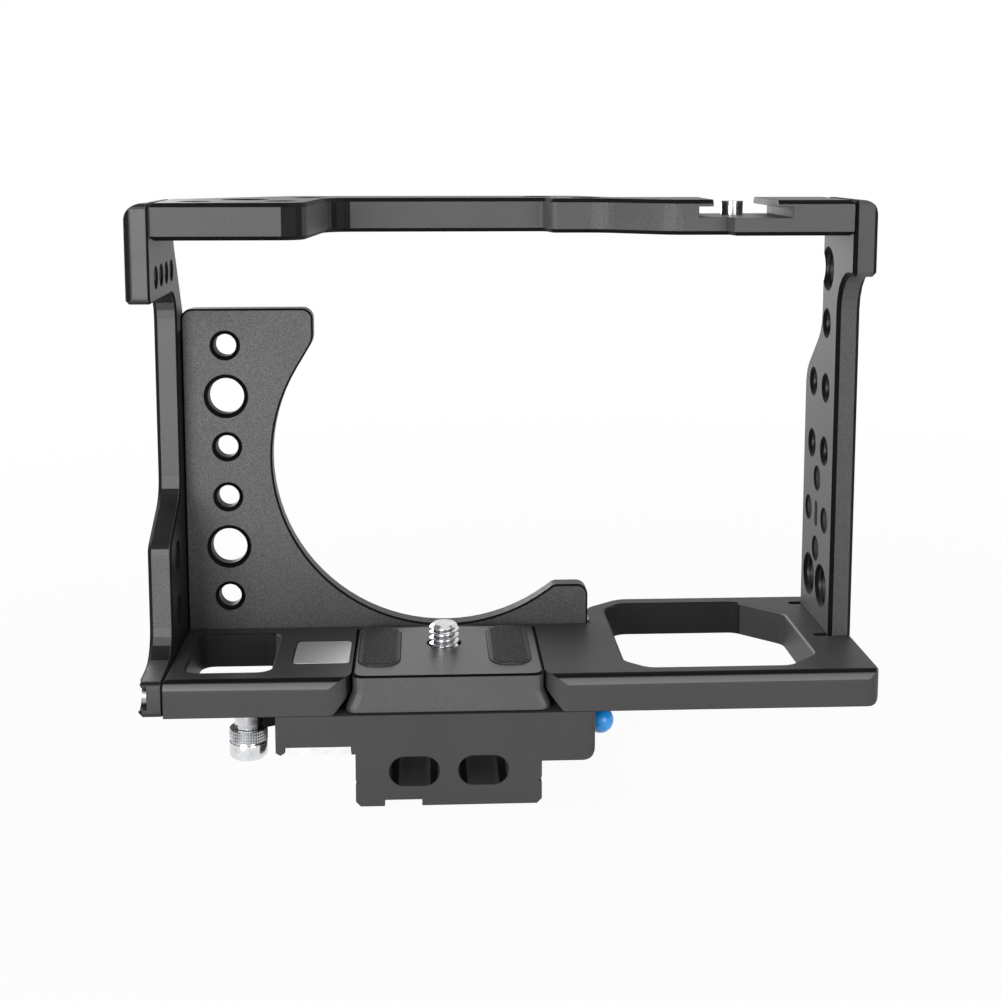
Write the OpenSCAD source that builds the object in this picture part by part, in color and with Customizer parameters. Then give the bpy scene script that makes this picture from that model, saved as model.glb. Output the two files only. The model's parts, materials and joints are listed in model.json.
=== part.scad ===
// Camera cage with a quick release base, millimetres.
// Origin: middle of the foot's underside. +X right, +Y to the lens, +Z up.

/* [Frame of the cage] */
// Middle of the cage to the inner face of the left side plate
left_reach = 57.5; // [55:0.5:62]
// Middle of the cage to the inner face of the right side plate
right_reach = 84; // [82:0.5:90]
// Clear height from the deck to the top plate
cage_h = 88.6; // [84:0.2:96]
// Thickness of both side plates
side_t = 5; // [4:0.5:6]
// Depth of the clamp block and of the foot
block_d = 40; // [38:0.5:44]
// Chamfer along the plate edges
edge_c = 0.8; // [0.4:0.1:1]

/* [Base plate] */
// Thickness of the base plate
base_t = 7.5; // [7:0.1:9]
// Depth of the base plate at its right end
base_d = 54; // [52:0.5:60]
// Radius of the base plate's upright corners
base_corner_r = 3; // [2:0.5:4]
// Radius of the rounded upper near edge
base_edge_r = 2.2; // [1.5:0.1:3]
// Right window to the right side plate
window_side = 6; // [5:0.5:9]
// Right window to the base's far edge
window_far = 4; // [4:0.5:8]
// Corner cut of the right window
window_cut = 6; // [4:0.5:6.5]
// Middle of the cage to the near left edge of the right window
window_x = 37; // [36:0.5:39]
// Middle of the cage to the right edge of the left window
slot_x = 36.4; // [36:0.2:40]
// Depth of the left window
slot_d = 25.5; // [20:0.5:26]
// Corner radius of the left window
slot_r = 3; // [2:0.5:4]
// Width of the inlay
inlay_w = 11.9; // [10:0.1:12.2]
// Depth of the inlay
inlay_d = 14.7; // [12:0.1:16]
// Thickness of the inlay
inlay_t = 1.2; // [0.8:0.1:1.6]

/* [Quick release plate] */
// Half width of the plate at the deck
plate_half = 19.5; // [19:0.1:20]
// Length of the plate
plate_d = 32.5; // [31.5:0.1:32.6]
// Height of the plate above the deck
plate_proud = 0.5; // [0.3:0.1:1]
// Height of the dovetail's upright lower edge
flare_h = 0.8; // [0.6:0.1:1.2]
// How far the dovetail reaches out on each side
flare_w = 1.4; // [1:0.1:1.6]
// Clearance all round the sliding plate
slide_gap = 0.3; // [0.25:0.05:0.4]
// Travel of the plate with the latch up
plate_travel = 20; // [16:0.5:20]
// Width of one rubber pad
pad_w = 8.7; // [8:0.1:9.2]
// Length of one rubber pad
pad_d = 26; // [22:0.5:27]
// Height of the pads above the plate
pad_proud = 0.5; // [0.3:0.1:0.8]
// Depth of the seats of the pads
pad_seat = 0.8; // [0.5:0.1:1]

/* [Camera screw] */
// Outer diameter of the camera thread
screw_d = 6.35; // [6.3:0.05:6.4]
// Diameter of the shank under the thread
shank_d = 7.4; // [7.2:0.1:7.8]
// Height of the screw above the deck
screw_tip = 5; // [4.5:0.1:6.5]
// Distance from the near face to the screw
screw_y = 21.4; // [19:0.1:22]
// How far the screw stands left of the middle
screw_left = 0.6; // [0:0.1:1]
// Diameter of the screw's head
screw_head_d = 12; // [11:0.2:13]
// Height of the screw's head
screw_head_h = 2.1; // [1.8:0.1:2.2]

/* [Lens plate] */
// Thickness of the lens plate
lens_t = 4.5; // [4:0.1:5]
// Distance from the near face to the lens plate
lens_y = 35.5; // [35.2:0.1:35.8]
// Height of the lens plate above the deck
lens_h = 71.8; // [68:0.2:76]
// Width of the lens plate beside its opening
lens_column_w = 19.3; // [19:0.1:21]
// Lowest point of the lens opening above the deck
lens_low = 0.3; // [0.2:0.1:1.5]
// Middle of the cage to the end of the lens plate's tail
tail_x = 32; // [31:0.2:33]
// Height of the tail above the deck
tail_h = 9; // [8:0.1:10]
// Left side plate to the column of holes
lens_hole_side = 9.5; // [8.5:0.1:10.5]
// Height of the lowest hole in the column
lens_hole_z = 7.5; // [7:0.1:8]
// Spacing of the column of holes
lens_hole_pitch = 11.25; // [10.8:0.05:11.6]

/* [Side plates] */
// Height of the block at the top of the left plate
left_head_h = 19.7; // [17:0.1:21]
// Near face of the base to the left plate's column
left_column_y = 31; // [28:0.5:32]
// Near face of the base to the left plate's lower part
left_lower_y = 15.5; // [13:0.5:17]
// Height of the left plate's lower part above the deck
left_lower_h = 24; // [20:0.5:28]
// Radius of the left head's outer upright edge
head_edge_r = 2; // [1.5:0.1:2.5]
// Radius of the left plate's outer upper corner
head_top_r = 4; // [3:0.1:4.5]
// Radius of the right plate's outer upper corner
right_top_r = 3.2; // [2:0.1:4]
// Diameter of the four small holes
small_hole_d = 3.9; // [3.4:0.1:4.2]
// Spacing of the four small holes
small_hole_pitch = 6.27; // [5.8:0.01:6.6]
// Height of the block at the top of the right plate
right_head_h = 15.9; // [14:0.1:18]
// Near face of the base to the right plate's head
right_head_y = 12; // [11:0.5:13]
// Near face of the base to the right plate's column
right_column_y = 23.5; // [22:0.5:24]
// Near face of the base to the right plate's far edge
right_far_y = 49.5; // [48:0.5:51]
// Near face of the base to the far edge of the right head
right_head_far_y = 36.5; // [35:0.5:38]
// Depth that the right plate stands in the deck
right_sink = 1.5; // [1:0.1:2]

/* [Top plate] */
// Thickness of the top plate
top_t = 7.3; // [7:0.1:8]
// Near face of the base to the middle's near edge
top_mid_y = 32; // [30:0.5:33]
// Near face of the base to the middle's far edge
top_far_y = 48; // [46:0.5:50]
// Right side plate to the centre of the cold shoe
shoe_side = 22.2; // [20:0.1:24]
// Width of the cold shoe's slot
shoe_w = 18.7; // [18.6:0.05:19]
// Gap between the cold shoe's lips
shoe_gap = 12.7; // [12.5:0.05:12.9]
// Height of the cold shoe's slot
shoe_h = 2.2; // [2.1:0.05:2.3]
// Thickness of the cold shoe's lips
shoe_lip = 1.4; // [1.2:0.1:1.5]
// Near edge of the shoe's right half to the stop screw
shoe_depth = 17; // [16:0.5:19]

/* [Threaded holes] */
// Bore of the quarter inch thread
quarter_d = 5.2; // [5.1:0.05:5.4]
// Mouth of the quarter inch thread
quarter_mouth = 6.6; // [6.4:0.1:7]
// Bore of the three eighths inch thread
three8_d = 8.2; // [7.9:0.1:8.4]
// Mouth of the three eighths inch thread
three8_mouth = 9.7; // [9.5:0.1:10]

/* [Clamp block and foot] */
// Height of the clamp block
block_h = 8.2; // [8:0.1:9]
// Middle of the cage to the left face of the clamp block
block_left = 35.1; // [34.5:0.1:36]
// Middle of the cage to the right face of the clamp block
block_right = 30; // [29.5:0.1:31]
// Half width of the foot
foot_half = 19; // [18.8:0.1:19.5]
// Height of the foot
foot_h = 11.1; // [10.8:0.1:12]
// How much lower the block's right half reaches
block_low = 2.1; // [1:0.1:2.4]
// Length of each slot through the foot
foot_slot_w = 10.3; // [9:0.1:10.6]
// Height of each slot through the foot
foot_slot_h = 6.2; // [5:0.1:6.4]
// Middle of the cage to the centre of each slot
foot_slot_x = 7.05; // [6.8:0.05:7.2]
// Height of the steel strip's face
strip_h = 1.65; // [1.4:0.05:1.8]

/* [Locking lever] */
// Middle of the cage to the lever's pivot
pivot_x = 30.5; // [30.3:0.1:30.7]
// Near face to the lever's pivot
pivot_y = 13.9; // [13.6:0.1:14.2]
// Radius of the cam
cam_r = 4.2; // [4:0.05:4.3]
// How far the cam stands off its pivot
cam_offset = 1.4; // [1.3:0.05:1.5]
// Pivot to the knob's axis
lever_l = 12.1; // [11.8:0.1:12.4]
// Direction of the lever when it is locked
lever_angle = 204.8; // [203:0.1:206]
// Width of the lever's arm
arm_w = 4.8; // [4:0.1:5]
// Thickness of the lever's arm
arm_t = 4; // [3.4:0.1:4.2]
// Diameter of the knob
knob_d = 7.9; // [7.4:0.1:8]
// Height of the knob's knurled collar
collar_h = 2.5; // [2:0.1:3]
// Height of the knob's polished barrel
barrel_h = 3.4; // [3:0.1:4]
// Width of the post across its corners
post_d = 5.6; // [5.2:0.1:5.8]

/* [Latch] */
// Radius of the blue release button
button_r = 2.85; // [2.6:0.05:2.9]
// How far the button's centre stands out of the block
button_out = 1.9; // [1.6:0.1:2.2]
// Travel of the button
button_travel = 2; // [1.6:0.1:2]
// Near face to the button's axis
button_y = 9; // [8.8:0.1:9.2]
// Diameter of the button's rod
rod_d = 3.8; // [3.6:0.1:4]
// Diameter of the latch pin
pin_d = 3.2; // [3:0.1:3.4]
// Middle of the cage to the latch pin
pin_x = 15.6; // [15.4:0.1:15.8]
// Depth that the latch pin enters the plate
pin_reach = 1.5; // [1.2:0.1:1.6]
// Drop of the pin for one unit of the button's travel
latch_ratio = 0.9; // [0.85:0.01:0.95]
// Outer diameter of the latch spring
spring_d = 2.8; // [2.6:0.1:2.9]
// Wire of the latch spring
spring_wire = 0.4; // [0.35:0.05:0.45]

/* [Screws] */
// Shank diameter of the plate screws
bolt_d = 3; // [2.5:0.1:3]
// Head diameter of the plate screws
bolt_head_d = 5.5; // [5:0.1:5.6]
// Head height of the plate screws
bolt_head_h = 2; // [1.8:0.1:2.2]
// Length of the plate screws' shanks
bolt_l = 9; // [8:0.5:10]
// Head diameter of the cold shoe's stop screw
stop_head_d = 4.8; // [4.5:0.1:5]
// Head height of the cold shoe's stop screw
stop_head_h = 3; // [2.5:0.1:3.1]
// Shank diameter of the cold shoe's stop screw
stop_d = 2.5; // [2.4:0.1:2.6]

/* [Hidden] */
$fn = 48;

// Running clearance on each side of a round fit, gap at a seat and overrun of the cuts
run_gap = 0.05;
seat_gap = 0.1;
over = 1;
edge_over_share = 0.25;

// Levels and faces that the pieces share
near_y = -block_d / 2;
base_z = foot_h + block_h;
deck_z = base_z + base_t;
top_z = deck_z + cage_h;
roof_z = top_z + top_t;
right_end = right_reach + side_t;
lens_near = near_y + lens_y;
lens_far = lens_near + lens_t;
screw_at_y = near_y + screw_y;
window_w = right_reach - window_side - window_x;
lens_r = left_reach - lens_column_w;
lens_z = lens_r + lens_low;
shoe_x = right_reach - shoe_side;

// Outlines run counter-clockwise; a corner is [x, y, radius] or [x, y, radius, steps]
function flat(c) = [c.x, c.y];
function unit(v) = v / norm(v);
function side_of(a, b) = [(a - b).y, (b - a).x] / norm(b - a);
function near(corners, i) = flat(corners[(i + len(corners)) % len(corners)]);
function steps(c) = len(c) > 3 ? c[3] : 5;

// Outline with every edge moved inwards by d
function moved(corners, d) = [
    for (i = [0:len(corners) - 1])
        let (
            p = near(corners, i - 1),
            q = near(corners, i),
            s = near(corners, i + 1),
            m = side_of(p, q),
            n = side_of(q, s),
            r = corners[i][2],
            convex = cross(q - p, s - q) > 0
        )
        concat(q + (m + n) * d / (1 + m * n), r == 0 ? 0 : r + (convex ? -d : d), steps(corners[i]))
];

// Points of the arc of radius r at corner q, between its neighbours p and s
function arc_at(p, q, s, r, n) =
    r == 0 ? [q] :
    let (
        u = unit(p - q),
        v = unit(s - q),
        half = acos(u * v) / 2,
        c = q + unit(u + v) * r / sin(half),
        a = q + u * r / tan(half) - c,
        b = q + v * r / tan(half) - c,
        start = atan2(a.y, a.x),
        sweep = (atan2(b.y, b.x) - start + 540) % 360 - 180
    )
    [for (k = [0:n]) c + r * [cos(start + sweep * k / n), sin(start + sweep * k / n)]];

function outline(corners) = [
    for (i = [0:len(corners) - 1])
        each arc_at(near(corners, i - 1), near(corners, i), near(corners, i + 1),
            corners[i][2], steps(corners[i]))
];

function rectangle(x, y, w, d, r) = [[x, y, r], [x + w, y, r], [x + w, y + d, r], [x, y + d, r]];

// Solid through a stack of rings with the same number of points
module prism(rings) {
    n = len(rings[0]);
    polyhedron(
        points = [for (ring = rings) each ring],
        faces = concat(
            [[for (i = [0:n - 1]) i]],
            [for (j = [0:len(rings) - 2], i = [0:n - 1])
                [j * n + i, (j + 1) * n + i, (j + 1) * n + (i + 1) % n, j * n + (i + 1) % n]],
            [[for (i = [n - 1:-1:0]) (len(rings) - 1) * n + i]]
        )
    );
}

// Rings given as [inset, height] pairs
module stack(corners, levels)
    prism([for (l = levels) [for (p = outline(moved(corners, l[0]))) [p.x, p.y, l[1]]]]);

// Ring-shaped waste that leaves a chamfer c along the edge of an outline at height z
module edge_waste(corners, c, z, up) {
    o = c * edge_over_share;
    levels = up > 0
        ? [[-o, z - c - o], [-o, z + o], [c + o, z + o]]
        : [[-o, z - o], [-o, z + c + o], [c + o, z - o]];
    rings = [for (l = levels) [for (p = outline(moved(corners, l[0]))) [p.x, p.y, l[1]]]];
    n = len(rings[0]);
    m = len(rings);
    polyhedron(
        points = [for (ring = rings) each ring],
        faces = [for (j = [0:m - 1], i = [0:n - 1])
            [j * n + i, ((j + 1) % m) * n + i, ((j + 1) % m) * n + (i + 1) % n, j * n + (i + 1) % n]]
    );
}

// Plate with chamfers along its lower and upper edges
module slab(corners, h, low = 0, high = 0) difference() {
    linear_extrude(h) polygon(outline(corners));
    if (low > 0) edge_waste(corners, low, 0, -1);
    if (high > 0) edge_waste(corners, high, h, 1);
}

// Window through a plate of thickness h, with a chamfer round its upper mouth
module window(corners, h, c)
    stack(corners, [[0, -over], [0, h - c], [-c - over, h + over]]);

// Children drawn in the XY plane stand up: x to Y and y to Z, or y to Z and depth towards the viewer
module on_yz(x) translate([x, 0, 0]) rotate([90, 0, 90]) children();
module on_xz(y) translate([0, y, 0]) rotate([90, 0, 0]) children();

// Waste outside a rounded edge whose faces run along +x and +y
module round_waste(r, l)
    linear_extrude(l) difference() {
        translate([-over, -over]) square(r + over);
        translate([r, r]) circle(r);
    }

module obround(w, h, l)
    linear_extrude(l) {
        square([w - h, h], center = true);
        for (x = [-1, 1]) translate([x * (w - h) / 2, 0]) circle(d = h);
    }

// Threaded hole through a plate of thickness t, with both mouths countersunk
module threaded_hole(d, mouth, t) {
    translate([0, 0, -over]) cylinder(d = d, h = t + 2 * over);
    for (m = [0, 1]) translate([0, 0, m * t]) mirror([0, 0, m]) translate([0, 0, -over])
        cylinder(d1 = mouth + 2 * over, d2 = d, h = (mouth - d) / 2 + over);
}

// Socket head screw: the head stands on z = 0 and the shank hangs below
module cap_screw(d, l, head_d, head_h) {
    difference() {
        cylinder(d = head_d, h = head_h);
        translate([0, 0, head_h / 2]) cylinder(d = head_d / 2, h = head_h, $fn = 6);
    }
    translate([0, 0, -l]) cylinder(d = d, h = l);
}

// Hole for such a screw: a counterbore of depth sink for the head and a clearance hole
module screw_seat(d, l, head_d, sink) {
    cylinder(d = head_d + 2 * seat_gap, h = sink + over);
    translate([0, 0, -l - seat_gap]) cylinder(d = d + 2 * run_gap, h = l + 2 * seat_gap);
}

// Places of the screws: each module puts its children at the seat of every head
shank_sink = bolt_head_h + seat_gap;
side_sink = bolt_head_h + edge_c;
top_bolt_drop = 1;
top_bolt_z = top_z + top_t / 2 - top_bolt_drop;
top_left_bolt_y = 4;
top_left_bolt_pitch = 16;
top_right_bolt_y = 17;
top_right_bolt_pitch = 14;
module at_top_screws_left()
    for (i = [0, 1])
        translate([
            -left_reach - side_t + side_sink,
            near_y + top_left_bolt_y + i * top_left_bolt_pitch,
            top_bolt_z
        ]) rotate([0, -90, 0]) children();
module at_top_screws_right()
    for (i = [0, 1])
        translate([
            right_end - side_sink,
            near_y + top_right_bolt_y + i * top_right_bolt_pitch,
            top_bolt_z
        ]) rotate([0, 90, 0]) children();

foot_bolt_d = 2.5;
foot_bolt_head_d = 4;
foot_bolt_head_h = 0.9;
foot_bolt_l = 8;
foot_recess_d = 6;
foot_sink = 1.8;
foot_bolt_y = 2.1;
foot_bolt_far = 33.5;
foot_bolt_drop = 3.2;
module at_base_screws_left()
    for (y = [foot_bolt_y, foot_bolt_far])
        translate([
            -left_reach - side_t + foot_sink,
            near_y + y,
            deck_z - foot_bolt_drop
        ]) rotate([0, -90, 0]) children();

right_bolt_d = 2;
right_bolt_head_d = 3.8;
right_bolt_l = 10;
right_bolt_x = 2;
right_bolt_margin = 6.5;
right_bolt_pitch = 13;
module at_base_screws_right()
    for (i = [0, 1])
        translate([
            right_reach + right_bolt_x,
            near_y + right_column_y + right_bolt_margin + i * right_bolt_pitch,
            base_z + foot_bolt_head_h + seat_gap
        ]) rotate([180, 0, 0]) children();

lens_bolt_left = 32;
lens_bolt_right = 29.5;
lens_side_bolt_z = 24.5;
lens_side_bolt_pitch = 33.4;
module at_lens_screws_far()
    for (x = [-lens_bolt_left, lens_bolt_right])
        translate([x, lens_far - foot_bolt_head_h - seat_gap, base_z + base_t / 2])
            rotate([-90, 0, 0]) children();
module at_lens_screws_side()
    for (i = [0, 1])
        translate([
            -left_reach - side_t + foot_bolt_head_h + seat_gap,
            lens_near + lens_t / 2,
            deck_z + lens_side_bolt_z + i * lens_side_bolt_pitch
        ]) rotate([0, -90, 0]) children();

block_bolt_left_l = 10;
block_bolt_right_l = 13;
block_bolt_y = 4;
block_bolt_far = 32.5;
block_bolt_right = 25.4;
block_bolt_left = 27.5;
module at_block_screws_left()
    for (y = [block_bolt_y, block_bolt_far])
        translate([-block_bolt_left, near_y + y, foot_h + strip_h + shank_sink])
            rotate([180, 0, 0]) children();
module at_block_screws_right()
    for (y = [block_bolt_y, block_bolt_far])
        translate([block_bolt_right, near_y + y, foot_h - block_low + shank_sink])
            rotate([180, 0, 0]) children();

// Dovetail channel of the base, in the XZ plane
channel_half = plate_half + slide_gap;
channel_lip = 3.2;
channel_run = 3.65;
channel_wall = 2.2;
channel_corner_r = 5;
channel_wall_y = lens_near - channel_wall;
channel_points = [
    [-channel_half, deck_z + over], [-channel_half, deck_z - channel_lip],
    [-channel_half - channel_run, base_z], [-channel_half - channel_run, base_z - over],
    [channel_half + channel_run, base_z - over], [channel_half + channel_run, base_z],
    [channel_half, deck_z - channel_lip], [channel_half, deck_z + over]
];

// Jaw and its pockets in the block and the base
jaw_y = 7;
jaw_d = 16;
jaw_t = 3.4;
jaw_nose_t = 1.7;
jaw_nose_rise = 2.3;
jaw_travel = 0.8;
jaw_face_x = -(plate_half + flare_w + slide_gap);
lever_gap = 0.3;
pocket_h = 5.6;
washer_t = 0.4;
lever_z = base_z - pocket_h + washer_t + seat_gap;
hub_h = pocket_h - washer_t - seat_gap - lever_gap;
pivot_d = 3.5;
pivot_sink = 0.6;
pivot_rise = 2;

// Window and shoulder of the base plate
window_near = 5;
window_d = base_d - window_near - window_far;
window_r = 4;
window_cut_shares = [0.75, 1.15, 1.6, 0.7];
left_window_near = 6;
left_window_margin = 3.5;
slot_w = left_reach - left_window_margin - slot_x;
shoulder_x = tail_x + slide_gap;
shoulder_y = 47;
shoulder_run = 8.7;
shoulder_r = 6;
inlay_x = 32.4;
inlay_y = 10.6;
inlay_r = 1.2;
relief_w = 2;
relief_l = 3;

base_corners = [
    [-left_reach, near_y, 0],
    [right_end, near_y, base_corner_r],
    [right_end, near_y + base_d, base_corner_r],
    [shoulder_x + shoulder_run, near_y + base_d, shoulder_r],
    [shoulder_x, near_y + shoulder_y, shoulder_r],
    [shoulder_x, lens_near, 0],
    [-left_reach, lens_near, 0]
];

// Two points cut each corner, from the near left one on round
window_corners = let (
        c = window_cut_shares * window_cut,
        x0 = window_x,
        x1 = window_x + window_w,
        y0 = near_y + window_near,
        y1 = near_y + window_near + window_d
    ) [
        [x0 + c[0], y0, window_r],
        [x1 - c[1], y0, window_r],
        [x1, y0 + c[1], window_r],
        [x1, y1 - c[2], window_r],
        [x1 - c[2], y1, window_r],
        [x0 + c[3], y1, window_r],
        [x0, y1 - c[3], window_r],
        [x0, y0 + c[0], window_r]
    ];

module base_plate() color("#39393b") difference() {
    translate([0, 0, base_z]) slab(base_corners, base_t, 0, edge_c / 2);
    translate([-left_reach - over, near_y, deck_z]) rotate([90, 0, 90]) mirror([0, 1, 0])
        round_waste(base_edge_r, left_reach + right_end + 2 * over);
    translate([right_end, near_y + base_d + over, base_z]) rotate([90, 0, 0]) mirror([1, 0, 0])
        round_waste(base_edge_r, base_d + 2 * over);
    on_xz(channel_wall_y) linear_extrude(channel_wall_y - near_y + over) polygon(channel_points);
    for (m = [0, 1]) mirror([m, 0, 0]) translate([channel_half, near_y, base_z - over])
        round_waste(channel_corner_r, base_t + 2 * over);
    translate([0, 0, base_z]) window(window_corners, base_t, edge_c / 2);
    translate([0, 0, base_z]) window(
        rectangle(-left_reach + left_window_margin, near_y + left_window_near, slot_w, slot_d, slot_r),
        base_t, edge_c / 2);
    translate([-inlay_x - seat_gap, near_y + inlay_y - seat_gap, deck_z - inlay_t])
        linear_extrude(inlay_t + over)
            polygon(outline(rectangle(0, 0, inlay_w + 2 * seat_gap, inlay_d + 2 * seat_gap, inlay_r)));
    translate([right_reach - seat_gap, near_y + right_column_y - seat_gap, deck_z - right_sink])
        cube([side_t + over, right_far_y - right_column_y + 2 * seat_gap, right_sink + over]);
    for (y = [right_column_y + relief_w / 2, right_far_y - relief_w / 2])
        translate([right_reach, near_y + y, deck_z - right_sink])
            obround(2 * relief_l, relief_w, right_sink + over);
    translate([jaw_face_x - jaw_nose_t - jaw_travel - slide_gap, near_y + jaw_y - slide_gap, base_z - over])
        cube([
            jaw_nose_t + jaw_travel + 2 * slide_gap,
            jaw_d + 2 * slide_gap,
            jaw_nose_rise + slide_gap + over
        ]);
    translate([-pivot_x, near_y + pivot_y, base_z - over])
        cylinder(d = pivot_d + 2 * run_gap, h = pivot_rise + seat_gap + over);
    at_base_screws_left() screw_seat(foot_bolt_d, foot_bolt_l, foot_bolt_head_d, over);
    at_base_screws_right() screw_seat(right_bolt_d, right_bolt_l, right_bolt_head_d, foot_bolt_head_h);
    at_lens_screws_far() screw_seat(foot_bolt_d, foot_bolt_l, foot_bolt_head_d, over);
    at_block_screws_left() screw_seat(bolt_d, block_bolt_left_l, bolt_head_d, over);
    at_block_screws_right() screw_seat(bolt_d, block_bolt_right_l, bolt_head_d, over);
}

// Block and foot
tooth_w = 1.9;
tooth_cut = 0.6;
strip_x = 19.8;
block_r = 2.5;
block_edge_r = 1.2;
foot_cut = 1;
foot_groove = 0.6;
foot_groove_z = 5;
notch_x = 13.1;
notch_w = 7.6;
notch_h = 1.3;
foot_slot_z = 7.3;
lever_pocket_y = 7.8;
lever_pocket_d = 13.2;
block_corners = [
    [-block_left, base_z, 0],
    [-block_left, foot_h + tooth_cut, 0],
    [-block_left + tooth_w / 2, foot_h, 0],
    [-block_left + tooth_w, foot_h + tooth_cut, 0],
    [-block_left + tooth_w, foot_h + strip_h, 0],
    [-strip_x, foot_h + strip_h, 0],
    [-strip_x, foot_h, 0],
    [-foot_half, foot_h, 0],
    [-foot_half, foot_groove_z + foot_groove, 0],
    [-foot_half + foot_groove, foot_groove_z, 0],
    [-foot_half, foot_groove_z - foot_groove, 0],
    [-foot_half, foot_cut, 0],
    [-foot_half + foot_cut, 0, 0],
    [-notch_x, 0, 0],
    [-notch_x, notch_h, 0],
    [-notch_x + notch_w, notch_h, 0],
    [-notch_x + notch_w, 0, 0],
    [foot_half - foot_cut, 0, 0],
    [foot_half, foot_cut, 0],
    [foot_half, foot_groove_z - foot_groove, 0],
    [foot_half - foot_groove, foot_groove_z, 0],
    [foot_half, foot_groove_z + foot_groove, 0],
    [foot_half, foot_h - block_low, 0],
    [block_right, foot_h - block_low, block_r],
    [block_right, base_z, 0]
];

// Latch: the rod's slanted tongue runs in the slot of the pin and pulls it down
latch_y = near_y + button_y;
rod_drop = 5.1;
rod_z = base_z - rod_drop;
button_x = block_right + button_out;
button_flat = 2.1;
rod_end = 4;
rod_end_x = pin_x + rod_end;
tongue_end = 1.9;
tongue_x = pin_x - tongue_end;
tongue_h = 1.2;
tongue_t = 1.2;
tongue_rise = 2.5;
tongue_gap = 0.15;
plate_floor = base_z + slide_gap;
pin_top = plate_floor + pin_reach;
pin_l = 10.1;
spring_l = 7.7;
spring_turns = 6;
spring_sides = 6;
spring_turn_steps = 10;
function tongue_z(x) = rod_z + tongue_rise - latch_ratio * (x - pin_x);
module tongue_band(x0, x1, gap, t)
    translate([0, latch_y + t / 2, 0]) rotate([90, 0, 0]) linear_extrude(t) polygon([
        [x0, tongue_z(x0) - tongue_h / 2 - gap], [x1, tongue_z(x1) - tongue_h / 2 - gap],
        [x1, tongue_z(x1) + tongue_h / 2 + gap], [x0, tongue_z(x0) + tongue_h / 2 + gap]
    ]);

module clamp_block() color("#39393b") difference() {
    on_xz(near_y + block_d) linear_extrude(block_d) polygon(outline(block_corners));
    translate([block_right, near_y, foot_h - block_low - over]) mirror([1, 0, 0])
        round_waste(block_edge_r, block_h + block_low + over);
    for (x = [-foot_slot_x, foot_slot_x])
        on_xz(near_y + block_d + over) translate([x, foot_slot_z, 0])
            obround(foot_slot_w, foot_slot_h, block_d + 2 * over);
    translate([-block_left - over, near_y + lever_pocket_y, base_z - pocket_h])
        cube([block_left + over - pivot_x + cam_offset + cam_r + lever_gap, lever_pocket_d, pocket_h + over]);
    translate([jaw_face_x - jaw_t - jaw_travel - lever_gap, near_y + jaw_y - lever_gap, base_z - pocket_h])
        cube([jaw_t + jaw_travel + 2 * lever_gap, jaw_d + 2 * lever_gap, pocket_h + over]);
    translate([-pivot_x, near_y + pivot_y, base_z - pocket_h - pivot_sink - seat_gap])
        cylinder(d = pivot_d + 2 * run_gap, h = pivot_sink + seat_gap + over);
    translate([button_x - button_travel - button_r - lever_gap, latch_y, rod_z]) rotate([0, 90, 0])
        cylinder(r = button_r + seat_gap, h = button_x);
    translate([rod_end_x - button_travel - slide_gap, latch_y, rod_z]) rotate([0, 90, 0])
        cylinder(d = rod_d + 2 * run_gap, h = button_x - rod_end_x);
    translate([tongue_x - button_travel - slide_gap, latch_y - tongue_t / 2 - tongue_gap, rod_z - rod_d / 2])
        cube([
            rod_end_x - tongue_x + button_travel,
            tongue_t + 2 * tongue_gap,
            base_z - rod_z + rod_d / 2 + over
        ]);
    translate([pin_x, latch_y, pin_top - pin_l - spring_l])
        cylinder(d = pin_d + 2 * run_gap, h = base_z - pin_top + pin_l + spring_l + over);
    at_block_screws_left() screw_seat(bolt_d, block_bolt_left_l, bolt_head_d, shank_sink);
    at_block_screws_right() screw_seat(bolt_d, block_bolt_right_l, bolt_head_d, shank_sink);
}

// Top plate
top_left_x = 27.5;
top_left_r = 5;
top_wall_x = 24.8;
top_step_in = 40.5;
top_step_x = shoe_x - top_step_in;
top_step_y = 26;
top_step_run = 1.3;
top_bend_in = 28.8;
top_bend_x = shoe_x - top_bend_in;
top_bend_y = 16;
top_bend_run = 14;
top_right_in = 3.5;
top_right_x = shoe_x - top_right_in;
top_right_run = 0.7;
top_far_left = 26;
top_far_left_x = 34.5;
top_far_right_in = 24.8;
top_far_right_x = shoe_x - top_far_right_in;
top_far_run = 7;
top_r = 3.5;
top_corners = [
    [-left_reach, near_y, 0],
    [-top_left_x, near_y, top_left_r],
    [-top_wall_x, near_y + top_mid_y, top_left_r],
    [top_step_x, near_y + top_mid_y, edge_c],
    [top_step_x + top_step_run, near_y + top_step_y, edge_c * 2],
    [top_bend_x, near_y + top_step_y, 3 * top_r],
    [top_bend_x + top_bend_run, near_y + top_bend_y, 3 * top_r],
    [top_right_x, near_y + top_bend_y, 0],
    [top_right_x + top_right_run, near_y + right_head_y, 0],
    [right_reach, near_y + right_head_y, 0],
    [right_reach, near_y + right_head_far_y, 0],
    [top_far_right_x, near_y + right_head_far_y, top_r],
    [top_far_right_x - top_far_run, near_y + top_far_y, 2 * top_r],
    [-top_far_left_x, near_y + top_far_y, top_r],
    [-left_reach, near_y + top_far_left, edge_c]
];
// Places of the top's holes as shares of the reach on their side and of the far edge's distance
top_quarter_shares = [[0.87, 0.21], [0.575, 0.25], [0.51, 0.75]];
top_right_quarter_shares = [[0.246, 0.84], [0.363, 0.67]];
top_three8_shares = [[0.72, 0.46]];
shoe_floor_z = roof_z - shoe_lip - shoe_h;
stop_y = right_head_y + shoe_depth;
stop_l = 3.4;

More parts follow.
